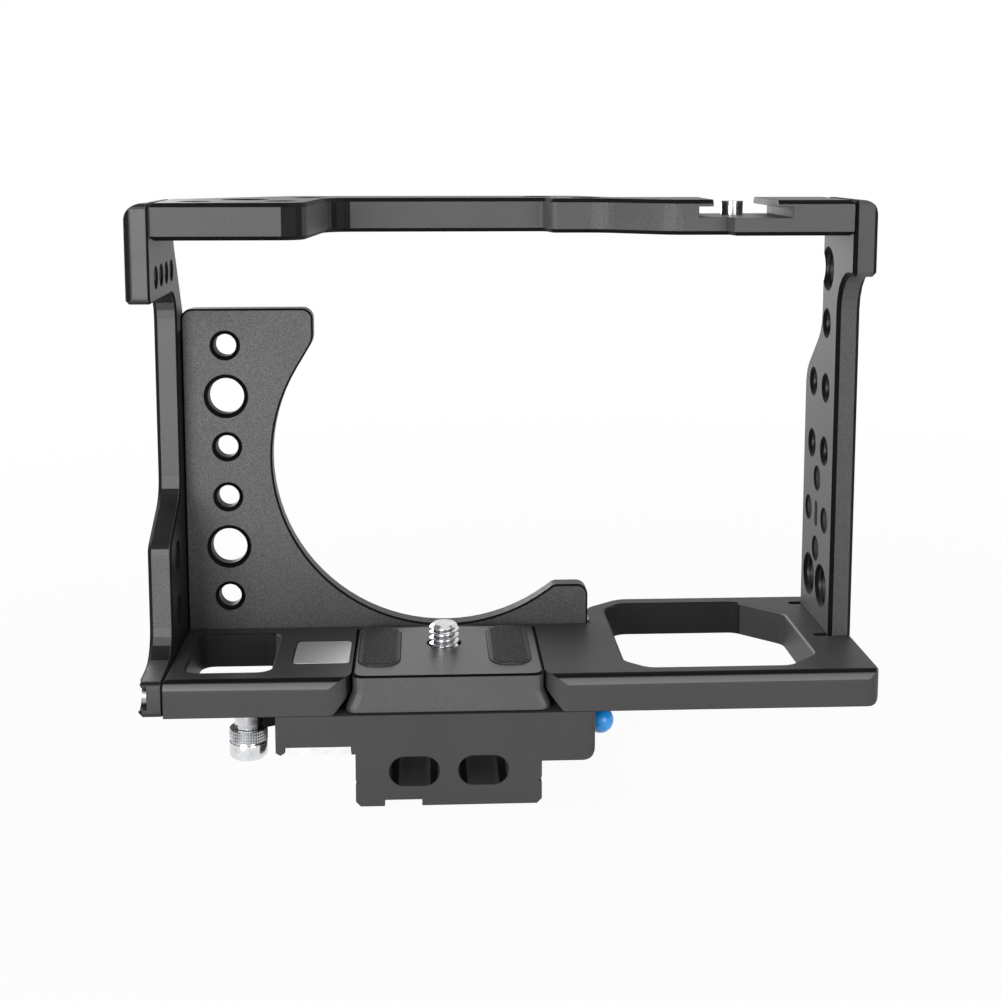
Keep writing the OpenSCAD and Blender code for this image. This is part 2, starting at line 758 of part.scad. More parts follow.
module top_plate() color("#3b3b3d") difference() {
    translate([0, 0, top_z]) slab(top_corners, top_t, edge_c, edge_c);
    translate([0, 0, top_z]) {
        for (s = top_quarter_shares)
            translate([-s.x * left_reach, near_y + s.y * top_far_y, 0])
                threaded_hole(quarter_d, quarter_mouth, top_t);
        for (s = top_right_quarter_shares)
            translate([s.x * right_reach, near_y + s.y * top_far_y, 0])
                threaded_hole(quarter_d, quarter_mouth, top_t);
        for (s = top_three8_shares)
            translate([-s.x * left_reach, near_y + s.y * top_far_y, 0])
                threaded_hole(three8_d, three8_mouth, top_t);
    }
    translate([shoe_x - shoe_w / 2, near_y - over, shoe_floor_z]) cube([shoe_w, top_far_y, shoe_h]);
    translate([shoe_x - shoe_gap / 2, near_y - over, shoe_floor_z]) cube([shoe_gap, top_far_y, top_t]);
    translate([shoe_x, near_y + stop_y, shoe_floor_z - stop_l - seat_gap])
        cylinder(d = stop_d + 2 * run_gap, h = stop_l + over);
    at_top_screws_left() screw_seat(bolt_d, bolt_l, bolt_head_d, over);
    at_top_screws_right() screw_seat(bolt_d, bolt_l, bolt_head_d, over);
}

// Left side plate, drawn in the YZ plane
left_front = 1;
left_far_y = 27;
left_slope_y = 30;
left_slope_z = 86;
left_slope_end = 70;
left_step_rise = 8;
left_foot_rise = 0.8;
left_r = 6;
left_corners = [
    [near_y, base_z, edge_c * 2],
    [lens_far, base_z, 0],
    [lens_far, deck_z + left_slope_end, left_r],
    [near_y + left_slope_y, deck_z + left_slope_z, left_r],
    [near_y + left_far_y, roof_z, edge_c * 2],
    [near_y - left_front, roof_z, edge_c * 2],
    [near_y - left_front, roof_z - left_head_h, edge_c * 2],
    [near_y + left_column_y, roof_z - left_head_h, left_r],
    [near_y + left_column_y, deck_z + left_lower_h + left_step_rise, left_r],
    [near_y + left_lower_y, deck_z + left_lower_h, left_r / 2],
    [near_y + left_lower_y, deck_z + left_foot_rise, left_r],
    [near_y, deck_z, edge_c * 1.5]
];
small_hole_y = 6.7;
small_hole_z = 81;
left_quarter_y = 24;
left_quarter_z = [8, 20];

module left_side_plate() color("#3b3b3d") difference() {
    on_yz(-left_reach - side_t) slab(left_corners, side_t, edge_c, edge_c / 2);
    translate([-left_reach - side_t, near_y - left_front, roof_z - left_head_h - over])
        round_waste(head_edge_r, left_head_h + 2 * over);
    translate([-left_reach - side_t, near_y + block_d, roof_z]) rotate([90, 0, 0]) mirror([0, 1, 0])
        round_waste(head_top_r, block_d + left_front + over);
    on_yz(-left_reach - side_t) {
        for (i = [0:3]) translate([near_y + small_hole_y + i * small_hole_pitch, deck_z + small_hole_z, 0])
            threaded_hole(small_hole_d, small_hole_d + edge_c, side_t);
        for (z = left_quarter_z) translate([near_y + left_quarter_y, deck_z + z, 0])
            threaded_hole(quarter_d, quarter_mouth, side_t);
    }
    at_top_screws_left() screw_seat(bolt_d, bolt_l, bolt_head_d, side_sink);
    at_base_screws_left() screw_seat(foot_bolt_d, foot_bolt_l, foot_recess_d, foot_sink);
    at_lens_screws_side() screw_seat(foot_bolt_d, foot_bolt_l, foot_bolt_head_d, foot_bolt_head_h + seat_gap);
}

// Right side plate, drawn in the YZ plane
right_slope_y = 56;
right_slope_end = 67;
right_r = 8;
right_corners = [
    [near_y + right_column_y, deck_z - right_sink, 0],
    [near_y + right_far_y, deck_z - right_sink, 0],
    [near_y + right_far_y, deck_z + right_slope_y, right_r],
    [near_y + right_head_far_y, deck_z + right_slope_end, right_r],
    [near_y + right_head_far_y, roof_z, edge_c * 2],
    [near_y + right_head_y, roof_z, edge_c * 1.5],
    [near_y + right_head_y, roof_z - right_head_h, edge_c * 1.5],
    [near_y + right_column_y, roof_z - right_head_h, right_r]
];
// Holes of the right plate as shares of its far edge's distance and of the clear height
right_quarter_shares = [[0.646, 0.771], [0.636, 0.609], [0.848, 0.609], [0.636, 0.449], [0.848, 0.449]];
right_three8_shares = [[0.646, 0.907], [0.636, 0.102], [0.848, 0.102]];
right_pin_shares = [[0.743, 0.367], [0.606, 0.275], [0.881, 0.275], [0.743, 0.184]];
right_pin_d = 5;
right_slot_share = [0.743, 0.275];
right_slot_w = 2.4;
right_slot_h = 5.9;

module right_side_plate() color("#3b3b3d") difference() {
    on_yz(right_reach) slab(right_corners, side_t, edge_c, edge_c);
    translate([right_end, near_y + block_d, roof_z]) rotate([90, 0, 180])
        translate([0, 0, -block_d]) mirror([0, 1, 0]) round_waste(right_top_r, block_d);
    on_yz(right_reach) {
        for (s = right_quarter_shares) translate([near_y + s.x * right_far_y, deck_z + s.y * cage_h, 0])
            threaded_hole(quarter_d, quarter_mouth, side_t);
        for (s = right_three8_shares) translate([near_y + s.x * right_far_y, deck_z + s.y * cage_h, 0])
            threaded_hole(three8_d, three8_mouth, side_t);
        for (s = right_pin_shares) translate([near_y + s.x * right_far_y, deck_z + s.y * cage_h, 0])
            threaded_hole(right_pin_d, right_pin_d + edge_c, side_t);
        translate([near_y + right_slot_share.x * right_far_y, deck_z + right_slot_share.y * cage_h, -over])
            rotate([0, 0, 90]) obround(right_slot_h, right_slot_w, side_t + 2 * over);
    }
    at_top_screws_right() screw_seat(bolt_d, bolt_l, bolt_head_d, side_sink);
    at_base_screws_right() screw_seat(right_bolt_d, right_bolt_l, right_bolt_head_d, over);
}

// Lens plate, drawn in the XZ plane; its opening is a chain of corners round the lens axis
lens_axis_z = deck_z + lens_z;
lens_start_angle = 149;
lens_end_angle = 306;
lens_turn_angle = 39.25;
lens_corner_r = 2.4;
lens_edge_share = 0.754;
lens_edge_x = lens_r * lens_edge_share;
function lens_corner(a) = concat(
    [0, lens_axis_z] + lens_r / cos(lens_turn_angle / 2)
        * [cos(a + lens_turn_angle / 2), sin(a + lens_turn_angle / 2)],
    lens_r, 10);
function tangent_z(x, a) = lens_axis_z + (lens_r - x * cos(a)) / sin(a);
function tangent_x(z, a) = (lens_r - (z - lens_axis_z) * sin(a)) / cos(a);
lens_corners = concat(
    [
        [-left_reach, base_z, 0],
        [tail_x, base_z, 0],
        [tail_x, deck_z + tail_h, lens_corner_r],
        [tangent_x(deck_z + tail_h, lens_end_angle), deck_z + tail_h, lens_corner_r]
    ],
    [for (i = [3:-1:0]) lens_corner(lens_start_angle + i * lens_turn_angle)],
    [
        [-lens_edge_x, tangent_z(-lens_edge_x, lens_start_angle), 2 * lens_corner_r],
        [-lens_edge_x, deck_z + lens_h, lens_corner_r],
        [-left_reach, deck_z + lens_h, lens_corner_r]
    ]
);
lens_three8 = [1, 4];

module lens_plate() color("#3b3b3d") difference() {
    on_xz(lens_far) slab(lens_corners, lens_t, edge_c / 2, edge_c / 2);
    on_xz(lens_far) for (i = [0:5])
        translate([-left_reach + lens_hole_side, deck_z + lens_hole_z + i * lens_hole_pitch, 0])
            if (i == lens_three8[0] || i == lens_three8[1]) threaded_hole(three8_d, three8_mouth, lens_t);
            else threaded_hole(quarter_d, quarter_mouth, lens_t);
    at_lens_screws_far() screw_seat(foot_bolt_d, foot_bolt_l, foot_bolt_head_d, foot_bolt_head_h + seat_gap);
    at_lens_screws_side() screw_seat(foot_bolt_d, foot_bolt_l, foot_bolt_head_d, over);
}

module inlay_plate() color("#c9cacc")
    translate([-inlay_x, near_y + inlay_y, deck_z - inlay_t])
        slab(rectangle(0, 0, inlay_w, inlay_d, inlay_r), inlay_t, 0, edge_c / 4);

strip_d = 36;
module wear_strip() color("#d8d9da")
    translate([-block_left + tooth_w + seat_gap, near_y, foot_h + seat_gap])
        cube([block_left - tooth_w - strip_x - 2 * seat_gap, strip_d, strip_h - seat_gap]);

// Quick release plate
plate_near = 0.5;
plate_r = 2.2;
pad_x = 13.7;
pad_y = 6.2;
pad_r = 4.2;
plate_z = deck_z + plate_proud;
head_sink = 3.2;
clip_t = 0.5;
clip_w = 1.4;
clip_seat = 0.6;
clip_drop = 0.25;
clip_gap_angle = 50;
head_bore = screw_head_d + 6 * seat_gap;

// Outline of the plate at half width w, drawn in from its ends by inset, on level z
function plate_ring(w, inset, z) = [
    for (p = outline(rectangle(-w, near_y + plate_near + inset, 2 * w, plate_d - 2 * inset, plate_r)))
        [p.x, p.y, z]
];

module quick_release_plate() color("#47474a") difference() {
    prism([
        plate_ring(plate_half + flare_w, 0, plate_floor),
        plate_ring(plate_half + flare_w, 0, plate_floor + flare_h),
        plate_ring(plate_half, 0, deck_z - channel_lip),
        plate_ring(plate_half, 0, plate_z - edge_c / 2),
        plate_ring(plate_half - edge_c / 2, edge_c / 2, plate_z)
    ]);
    translate([-screw_left, screw_at_y, plate_floor - over]) cylinder(d = shank_d + 2 * run_gap, h = plate_z);
    translate([-screw_left, screw_at_y, plate_floor - over]) cylinder(d = head_bore, h = head_sink + over);
    translate([-screw_left, screw_at_y, plate_floor + clip_drop])
        cylinder(d = head_bore + 2 * seat_gap + clip_w / 2, h = clip_seat);
    for (x = [-pad_x, pad_x])
        translate([x - screw_left - pad_w / 2 - seat_gap, near_y + pad_y - seat_gap, plate_z - pad_seat])
            linear_extrude(pad_seat + over)
                polygon(outline(rectangle(0, 0, pad_w + 2 * seat_gap, pad_d + 2 * seat_gap, pad_r)));
    translate([pin_x - pin_d / 2 - slide_gap, latch_y - pin_d / 2 - slide_gap, plate_floor - over])
        cube([pin_d + 2 * slide_gap, plate_travel + pin_d + 2 * slide_gap, pin_reach + slide_gap + over]);
}

module grip_pad(x) color("#1d1d1f")
    translate([x - screw_left - pad_w / 2, near_y + pad_y, plate_z - pad_seat])
        slab(rectangle(0, 0, pad_w, pad_d, pad_r), pad_seat + pad_proud, 0, edge_c / 4);
module grip_pad_left() grip_pad(-pad_x);
module grip_pad_right() grip_pad(pad_x);

// Camera screw: the head hangs in the plate's counterbore, a snap ring holds it and the thread starts
// above the plate
coin_slot_w = 1.4;
coin_slot_h = 1;
screw_cut = 0.8;
screw_head_z = plate_floor + head_sink - seat_gap - screw_head_h;
module camera_screw() color("#c4c6c8") translate([-screw_left, screw_at_y, 0]) difference() {
    union() {
        translate([0, 0, screw_head_z]) cylinder(d = screw_head_d, h = screw_head_h);
        translate([0, 0, screw_head_z]) cylinder(d = shank_d, h = plate_z + seat_gap - screw_head_z);
        translate([0, 0, plate_z]) cylinder(d = screw_d, h = screw_tip - screw_cut - plate_proud);
        translate([0, 0, deck_z + screw_tip - screw_cut])
            cylinder(d1 = screw_d, d2 = screw_d - 2 * screw_cut, h = screw_cut);
    }
    translate([-screw_head_d, -coin_slot_w / 2, screw_head_z - over])
        cube([2 * screw_head_d, coin_slot_w, coin_slot_h + over]);
}

module screw_clip() color("#9a9c9f")
    translate([-screw_left, screw_at_y, plate_floor + clip_drop + seat_gap / 2]) rotate(clip_gap_angle / 2)
        rotate_extrude(angle = 360 - clip_gap_angle)
            translate([head_bore / 2 + clip_w / 4 - clip_w, 0]) square([clip_w, clip_t]);

// Locking lever: the hub is a cam round the pivot
tenon_d = 1.6;
tenon_l = 1.2;
collar_gap = 0.1;
post_top = base_z - lever_gap;
collar_top = lever_z - collar_gap;
knob_x = -pivot_x + lever_l * cos(lever_angle);
knob_y = near_y + pivot_y + lever_l * sin(lever_angle);
post_flat = post_d / 2 * cos(22.5);
module at_pivot(z) translate([-pivot_x, near_y + pivot_y, z]) children();
module at_knob(z) translate([knob_x, knob_y, z]) rotate(lever_angle) children();

module lock_lever() color("#2b2b2d") at_pivot(lever_z) difference() {
    union() {
        translate([cam_offset, 0, 0]) cylinder(r = cam_r, h = hub_h);
        rotate(lever_angle) translate([0, -arm_w / 2, 0]) cube([lever_l - post_flat, arm_w, arm_t]);
        rotate(lever_angle) translate([pivot_d, 0, arm_t / 2]) rotate([0, 90, 0])
            cylinder(d = tenon_d, h = lever_l - post_flat - pivot_d + tenon_l);
    }
    translate([0, 0, -over]) cylinder(d = pivot_d + 2 * run_gap, h = hub_h + 2 * over);
}

module lever_pivot_pin() color("#8f9194") at_pivot(base_z - pocket_h - pivot_sink)
    cylinder(d = pivot_d, h = pivot_sink + pocket_h + pivot_rise);

module lever_washer() color("#a8aaad") at_pivot(base_z - pocket_h) difference() {
    cylinder(r = cam_r, h = washer_t);
    translate([0, 0, -over]) cylinder(d = pivot_d + 2 * run_gap, h = washer_t + 2 * over);
}

// Post with eight flats, its stem and the spinning knob
stem_d = 3;
rivet_d = 4.6;
rivet_h = 0.9;
rivet_sink = 1.2;
knob_groove = 0.35;
knob_cut = 0.6;
knob_h = collar_h + knob_groove + barrel_h;
knob_z = collar_top - knob_h;
module knob_post() color("#d5d6d8") difference() {
    union() {
        at_knob(lever_z) rotate(22.5) cylinder(d = post_d, h = post_top - lever_z, $fn = 8);
        at_knob(knob_z + rivet_sink - seat_gap)
            cylinder(d = stem_d, h = lever_z - knob_z - rivet_sink + seat_gap + run_gap);
        at_knob(knob_z + rivet_sink - seat_gap - rivet_h) cylinder(d = rivet_d, h = rivet_h);
    }
    at_knob(lever_z + arm_t / 2) rotate([0, -90, 0])
        cylinder(d = tenon_d + 2 * run_gap, h = post_d);
}

module knob_sleeve() color("#e0e1e3") at_knob(knob_z) difference() {
    union() {
        cylinder(d1 = knob_d - 2 * knob_cut, d2 = knob_d, h = knob_cut);
        translate([0, 0, knob_cut]) cylinder(d = knob_d, h = barrel_h - knob_cut);
        cylinder(d = knob_d - 2 * knob_groove, h = knob_h);
        translate([0, 0, barrel_h + knob_groove]) cylinder(d = knob_d, h = collar_h);
    }
    translate([0, 0, -over]) cylinder(d = stem_d + 2 * run_gap, h = knob_h + 2 * over);
    translate([0, 0, -over]) cylinder(d = rivet_d + 2 * seat_gap, h = rivet_sink + over);
}

module clamp_jaw() color("#55565a")
    on_xz(near_y + jaw_y + jaw_d) linear_extrude(jaw_d) polygon([
        [jaw_face_x - jaw_t, base_z - pocket_h + lever_gap],
        [jaw_face_x, base_z - pocket_h + lever_gap],
        [jaw_face_x, base_z + jaw_nose_rise],
        [jaw_face_x - jaw_nose_t, base_z + jaw_nose_rise],
        [jaw_face_x - jaw_nose_t, base_z - lever_gap],
        [jaw_face_x - jaw_t, base_z - lever_gap]
    ]);

module release_button() color("#2f8fe8") translate([button_x, latch_y, rod_z]) rotate([0, 90, 0])
    rotate_extrude() difference() {
        circle(r = button_r);
        translate([-button_r - over, -button_r]) square([button_r + over, 2 * button_r]);
        translate([-over, -button_flat - button_r]) square([button_r + over, button_r]);
    }

module release_rod() color("#a8aaad") {
    translate([rod_end_x, latch_y, rod_z]) rotate([0, 90, 0])
        cylinder(d = rod_d, h = button_x - button_flat - rod_end_x);
    tongue_band(tongue_x, rod_end_x + tongue_gap, 0, tongue_t);
}

module latch_pin() color("#a8aaad") difference() {
    translate([pin_x, latch_y, pin_top - pin_l]) cylinder(d = pin_d, h = pin_l);
    tongue_band(pin_x - pin_d, pin_x + pin_d, tongue_gap, tongue_t + 2 * tongue_gap);
}

// Helix of the latch spring, from its seat up to the pin
spring_r = (spring_d - spring_wire) / 2;
spring_floor = pin_top - pin_l - spring_l + seat_gap;
spring_rise = spring_l - 2 * seat_gap - spring_wire;
spring_n = spring_turns * spring_turn_steps;
function spring_ring(i) =
    let (a = 360 * i / spring_turn_steps, z = spring_floor + spring_wire / 2 + spring_rise * i / spring_n)
    [for (k = [0:spring_sides - 1])
        let (b = 360 * k / spring_sides, r = spring_r + cos(b) * spring_wire / 2)
        [pin_x + r * cos(a), latch_y + r * sin(a), z - sin(b) * spring_wire / 2]];
module latch_spring() color("#b9bbbe") prism([for (i = [0:spring_n]) spring_ring(i)]);

module shoe_stop_screw() color("#cfd1d3")
    translate([shoe_x, near_y + stop_y, shoe_floor_z]) cap_screw(stop_d, stop_l, stop_head_d, stop_head_h);

module top_screws_left() color("#2a2a2c") at_top_screws_left()
    cap_screw(bolt_d, bolt_l, bolt_head_d, bolt_head_h);
module top_screws_right() color("#2a2a2c") at_top_screws_right()
    cap_screw(bolt_d, bolt_l, bolt_head_d, bolt_head_h);
module base_screws_left() color("#b9bbbe") at_base_screws_left()
    cap_screw(foot_bolt_d, foot_bolt_l, foot_bolt_head_d, foot_bolt_head_h);
module base_screws_right() color("#2a2a2c") at_base_screws_right()
    cap_screw(right_bolt_d, right_bolt_l, right_bolt_head_d, foot_bolt_head_h);
module lens_plate_screws() color("#2a2a2c") {
    at_lens_screws_far() cap_screw(foot_bolt_d, foot_bolt_l, foot_bolt_head_d, foot_bolt_head_h);
    at_lens_screws_side() cap_screw(foot_bolt_d, foot_bolt_l, foot_bolt_head_d, foot_bolt_head_h);
}
module block_screws() color("#2a2a2c") {
    at_block_screws_left() cap_screw(bolt_d, block_bolt_left_l, bolt_head_d, bolt_head_h);
    at_block_screws_right() cap_screw(bolt_d, block_bolt_right_l, bolt_head_d, bolt_head_h);
}

base_plate();
clamp_block();
top_plate();
left_side_plate();
right_side_plate();
lens_plate();
inlay_plate();
wear_strip();
quick_release_plate();
grip_pad_left();
grip_pad_right();
camera_screw();
screw_clip();
lock_lever();
lever_pivot_pin();
lever_washer();
knob_post();
knob_sleeve();
clamp_jaw();
release_button();
release_rod();
latch_pin();
latch_spring();
shoe_stop_screw();
top_screws_left();
top_screws_right();
base_screws_left();
base_screws_right();
lens_plate_screws();
block_screws();
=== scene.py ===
"""Looks of a camera cage: anodised plates, a quick release plate, a lever with its knob, and a stage."""

import json
from math import pi, radians

import bpy
from bpy.props import FloatProperty, FloatVectorProperty, IntProperty, PointerProperty
from mathutils import Euler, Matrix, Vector


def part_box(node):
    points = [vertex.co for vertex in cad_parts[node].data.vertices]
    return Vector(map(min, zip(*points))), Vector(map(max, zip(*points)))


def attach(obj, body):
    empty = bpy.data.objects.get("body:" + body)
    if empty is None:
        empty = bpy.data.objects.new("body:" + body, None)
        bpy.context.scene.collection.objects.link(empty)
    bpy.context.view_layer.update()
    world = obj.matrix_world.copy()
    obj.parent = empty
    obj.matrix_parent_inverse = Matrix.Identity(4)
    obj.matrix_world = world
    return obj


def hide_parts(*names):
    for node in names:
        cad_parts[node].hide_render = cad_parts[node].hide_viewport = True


bl_info = {
    "name": "Camera Cage Looks",
    "version": (1, 0, 0),
    "blender": (4, 5, 0),
    "location": "View3D > Sidebar > Camera Cage",
    "description": "Dresses the solids of a camera cage with finishes, threads, knurls and a stage",
    "category": "Object",
}

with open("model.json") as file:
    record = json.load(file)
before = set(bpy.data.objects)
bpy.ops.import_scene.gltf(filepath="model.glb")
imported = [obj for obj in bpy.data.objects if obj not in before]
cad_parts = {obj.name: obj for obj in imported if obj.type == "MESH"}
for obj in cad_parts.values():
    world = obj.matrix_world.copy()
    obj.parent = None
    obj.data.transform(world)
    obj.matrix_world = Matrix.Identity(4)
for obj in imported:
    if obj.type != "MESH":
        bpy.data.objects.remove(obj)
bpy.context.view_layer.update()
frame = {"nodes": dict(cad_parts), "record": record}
MM = 0.001

# Plates with their tone (dark and light grain), the axis across the plate and the lean of its dark edges,
# which are painted dark reflection.
# The one anodise is partly painted light here: its tone is lighter on plates that the studio lights more and
# darker on those it lights less.
PLATES = {
    "top_plate": (("#4f4f4f", "#646464"), "Z", (0.5, 0.9)),
    "left_side_plate": (("#5a5a5a", "#6e6e6e"), "X", (0.55, 0.96)),
    "right_side_plate": (("#4a4a4a", "#5c5c5c"), "X", (0.5, 0.9)),
    "lens_plate": (("#525252", "#707070"), "Y", (0.5, 0.9)),
    "base_plate": (("#474747", "#4f4f4f"), "Z", (0.8, 0.994)),
    "clamp_block": (("#464646", "#4d4d4d"), "Z", (0.5, 0.9)),
}
BLACK_SCREW_NODES = [
    "top_screws_left", "top_screws_right", "base_screws_right", "lens_plate_screws", "block_screws",
]
TURNED_STEEL_NODES = [
    "lever_pivot_pin", "lever_washer", "release_rod", "latch_pin", "latch_spring", "screw_clip",
    "base_screws_left",
]
POLISHED_NODES = ["knob_post", "shoe_stop_screw"]

# Soft boxes with their place and target, the side of their square in metres, and their power in watts
LAMPS = {
    "Key": ((-0.34, -0.62, 0.18), (0, 0, 0.07), 0.4, 3.7),
    "Fill": ((0.42, -0.6, 0.12), (0.02, 0, 0.07), 0.4, 1.9),
    "Top": ((0.05, 0.1, 1.0), (0.01, 0, 0.06), 0.5, 0.75),
    "Back": ((-0.4, 0.7, 0.22), (0, 0, 0.07), 0.5, 3.4),
}
FLOOR_RADIUS = 3
FLOOR_HEIGHT = -0.5 * MM

CAMERA_SCREW_RADIUS = 3.175 * MM
THREE_EIGHTHS_PITCH_SHARE = 1.25
LARGEST_QUARTER_INCH_RADIUS = 3 * MM
KNOB_BORE_RADIUS = 1.55 * MM

# A wave texture turns by this many radians for each unit of its scale
WAVE_RADIANS = 20

# Upright part of the normal from which a face counts as one of a turned piece's flat ends
FLAT_END = 0.9

# Points of a thread closer than this share of its pitch become one
WELD_SHARE = 0.005


# Colours and node trees

def linear(hex_colour):
    """sRGB hex, such as "#3a3a3c", as a linear RGBA tuple."""
    channels = [int(hex_colour[i:i + 2], 16) / 255 for i in (1, 3, 5)]
    return tuple(c / 12.92 if c <= 0.04045 else ((c + 0.055) / 1.055) ** 2.4 for c in channels) + (1,)


def feed(tree, socket, value):
    """Links an output to a socket, or sets a plain value there."""
    if isinstance(value, bpy.types.NodeSocket):
        tree.links.new(value, socket)
    else:
        socket.default_value = value


def add_node(tree, kind, inputs=None, **settings):
    """Adds a node with its settings; inputs maps names or numbers of sockets to outputs or plain values."""
    node = tree.nodes.new(kind)
    for name, value in settings.items():
        setattr(node, name, value)
    for name, value in (inputs or {}).items():
        feed(tree, node.inputs[name], value)
    return node


def calculated(tree, operation, *terms):
    """Result of an operation on numbers; each term is an output or a plain number."""
    return add_node(tree, "ShaderNodeMath", dict(enumerate(terms)), operation=operation).outputs["Value"]


def cosine(tree, a, b):
    """Cosine of the angle between two directions; each one is an output or a plain vector."""
    node = add_node(tree, "ShaderNodeVectorMath", {0: a, 1: b}, operation="DOT_PRODUCT")
    return node.outputs["Value"]


def coordinate(tree, kind, axis):
    """One part of the shaded point's place (Object) or of its normal (Normal) in the part's frame."""
    whole = tree.nodes.new("ShaderNodeTexCoord").outputs[kind]
    return add_node(tree, "ShaderNodeSeparateXYZ", {0: whole}).outputs[axis]


def new_material(name):
    """An empty material with its node tree, its shader and its object coordinates."""
    material = bpy.data.materials.new(name)
    material.use_nodes = True
    tree = material.node_tree
    tree.nodes.clear()
    output = tree.nodes.new("ShaderNodeOutputMaterial")
    shader = tree.nodes.new("ShaderNodeBsdfPrincipled")
    tree.links.new(shader.outputs["BSDF"], output.inputs["Surface"])
    coords = tree.nodes.new("ShaderNodeTexCoord").outputs["Object"]
    return material, tree, shader, coords


def per_metre(size_mm):
    """Texture scale at which one cell of a noise measures size_mm."""
    return 1 / (size_mm * MM)


def ramp(tree, value, stops):
    """Colour ramp through (position, colour) stops; a colour is a grey number or an RGBA tuple."""
    node = add_node(tree, "ShaderNodeValToRGB", {"Fac": value})
    elements = node.color_ramp.elements
    while len(elements) < len(stops):
        elements.new(0.5)
    for element, (position, colour) in zip(elements, stops):
        element.position = position
        element.color = colour if isinstance(colour, tuple) else (colour, colour, colour, 1)
    return node.outputs["Color"]


def two_tone(tree, pattern, colours, low=0.3, high=0.7):
    """The first colour up to low in the pattern, the second from high, and a blend between."""
    return ramp(tree, pattern, [(low, linear(colours[0])), (high, linear(colours[1]))])


def noise(tree, coords, size_mm, detail=2):
    """Noise whose grains measure about size_mm."""
    inputs = {"Vector": coords, "Scale": per_metre(size_mm), "Detail": detail}
    return add_node(tree, "ShaderNodeTexNoise", inputs).outputs["Fac"]


def blended(tree, a, b, factor, blend_type="MIX"):
    """Mix of two colours; each one and the factor is an output or a plain value."""
    node = add_node(tree, "ShaderNodeMix", data_type="RGBA", blend_type=blend_type)
    colour_sockets = [socket for socket in node.inputs if socket.type == "RGBA"]
    for socket, value in zip([node.inputs[0]] + colour_sockets, (factor, a, b)):
        feed(tree, socket, value)
    return next(out for out in node.outputs if out.type == "RGBA")


def add_bump(tree, shader, height, depth_mm, strength, normal=None):
    """Bump from a height, linked to the shader's normal."""
    inputs = {"Height": height, "Strength": strength, "Distance": depth_mm * MM}
    if normal:
        inputs["Normal"] = normal
    bump = add_node(tree, "ShaderNodeBump", inputs)
    tree.links.new(bump.outputs["Normal"], shader.inputs["Normal"])


def edge_mask(tree, width_mm):
    """1 along sharp edges, 0 on flat faces, and the rounded normal."""
    rounded = add_node(tree, "ShaderNodeBevel", {"Radius": width_mm * MM}, samples=4).outputs["Normal"]
    flat = tree.nodes.new("ShaderNodeNewGeometry").outputs["Normal"]
    return ramp(tree, cosine(tree, rounded, flat), [(0.86, 1.0), (0.99, 0.0)]), rounded


def slant_mask(tree, axis, slants, fade=0.04):
    """1 where the normal's part along an axis is between the two slants, as on a chamfer or a bend."""
    lean = calculated(tree, "ABSOLUTE", coordinate(tree, "Normal", axis))
    low, high = slants
    return ramp(
        tree, lean, [(low - fade, 0.0), (low, 1.0), (high, 1.0), (min(high + fade, 0.999), 0.0)])


def within(tree, axis, low_mm, high_mm):
    """1 between two places along an axis of the part."""
    middle = (low_mm + high_mm) / 2 * MM
    half = (high_mm - low_mm) / 2 * MM
    offset = calculated(tree, "SUBTRACT", coordinate(tree, "Object", axis), middle)
    return calculated(tree, "LESS_THAN", calculated(tree, "ABSOLUTE", offset), half)


def facing(tree, direction, least):
    """1 where the surface looks along direction, by a cosine of least or more."""
    normal = tree.nodes.new("ShaderNodeTexCoord").outputs["Normal"]
    return calculated(tree, "GREATER_THAN", cosine(tree, normal, direction), least)


def base_colour(material):
    """Node tree of a material, the colour socket of its shader, and the output that feeds this socket."""
    tree = material.node_tree
    shader = next(node for node in tree.nodes if node.type == "BSDF_PRINCIPLED")
    socket = shader.inputs["Base Color"]
    return tree, socket, socket.links[0].from_socket


def paint_light_and_shade(material, masks, colour):
    """Painted light and shade: another colour where all masks are 1."""
    tree, socket, before = base_colour(material)
    share = masks[0]
    for mask in masks[1:]:
        share = calculated(tree, "MULTIPLY", share, mask)
    tree.links.new(blended(tree, before, linear(colour), share), socket)


def darker_foot(material, low_mm, high_mm, share):
    """The tone falls to share of itself from one height down to another, away from the studio's light."""
    tree, socket, before = base_colour(material)
    rise = add_node(tree, "ShaderNodeMapRange", {
        "Value": coordinate(tree, "Object", "Z"), "From Min": low_mm * MM, "From Max": high_mm * MM,
        "To Min": share, "To Max": 1.0})
    tree.links.new(blended(tree, before, rise.outputs["Result"], 1.0, "MULTIPLY"), socket)


# Finishes

def anodised_aluminium(name, face, axis="Z", slants=(0.5, 0.9), rough=0.46, metal=0.15):
    """Bead-blasted aluminium with a black anodised skin: fine grain and a soft sheen, with painted dark
    reflection that draws its edges, chamfers and bends near black.
    """
    material, tree, shader, coords = new_material(name)
    edges, rounded = edge_mask(tree, width_mm=0.25)
    grain = noise(tree, coords, size_mm=0.2, detail=3)
    tone = two_tone(tree, grain, face, 0.36, 0.66)
    shade = ramp(tree, noise(tree, coords, size_mm=16), [(0.3, 0.92), (0.7, 1.0)])
    clouded = blended(tree, tone, shade, 1.0, "MULTIPLY")
    # Painted dark reflection: sharp edges and the slanted faces of chamfers and bends are drawn near black
    lines = blended(tree, edges, slant_mask(tree, axis, slants), 1.0, "LIGHTEN")
    tree.links.new(blended(tree, clouded, linear("#050505"), lines), shader.inputs["Base Color"])
    tree.links.new(ramp(tree, lines, [(0.0, rough), (1.0, 0.7)]), shader.inputs["Roughness"])
    shader.inputs["Metallic"].default_value = metal
    shader.inputs["Specular IOR Level"].default_value = 0.12
    add_bump(tree, shader, grain, depth_mm=0.012, strength=0.35, normal=rounded)
    return material


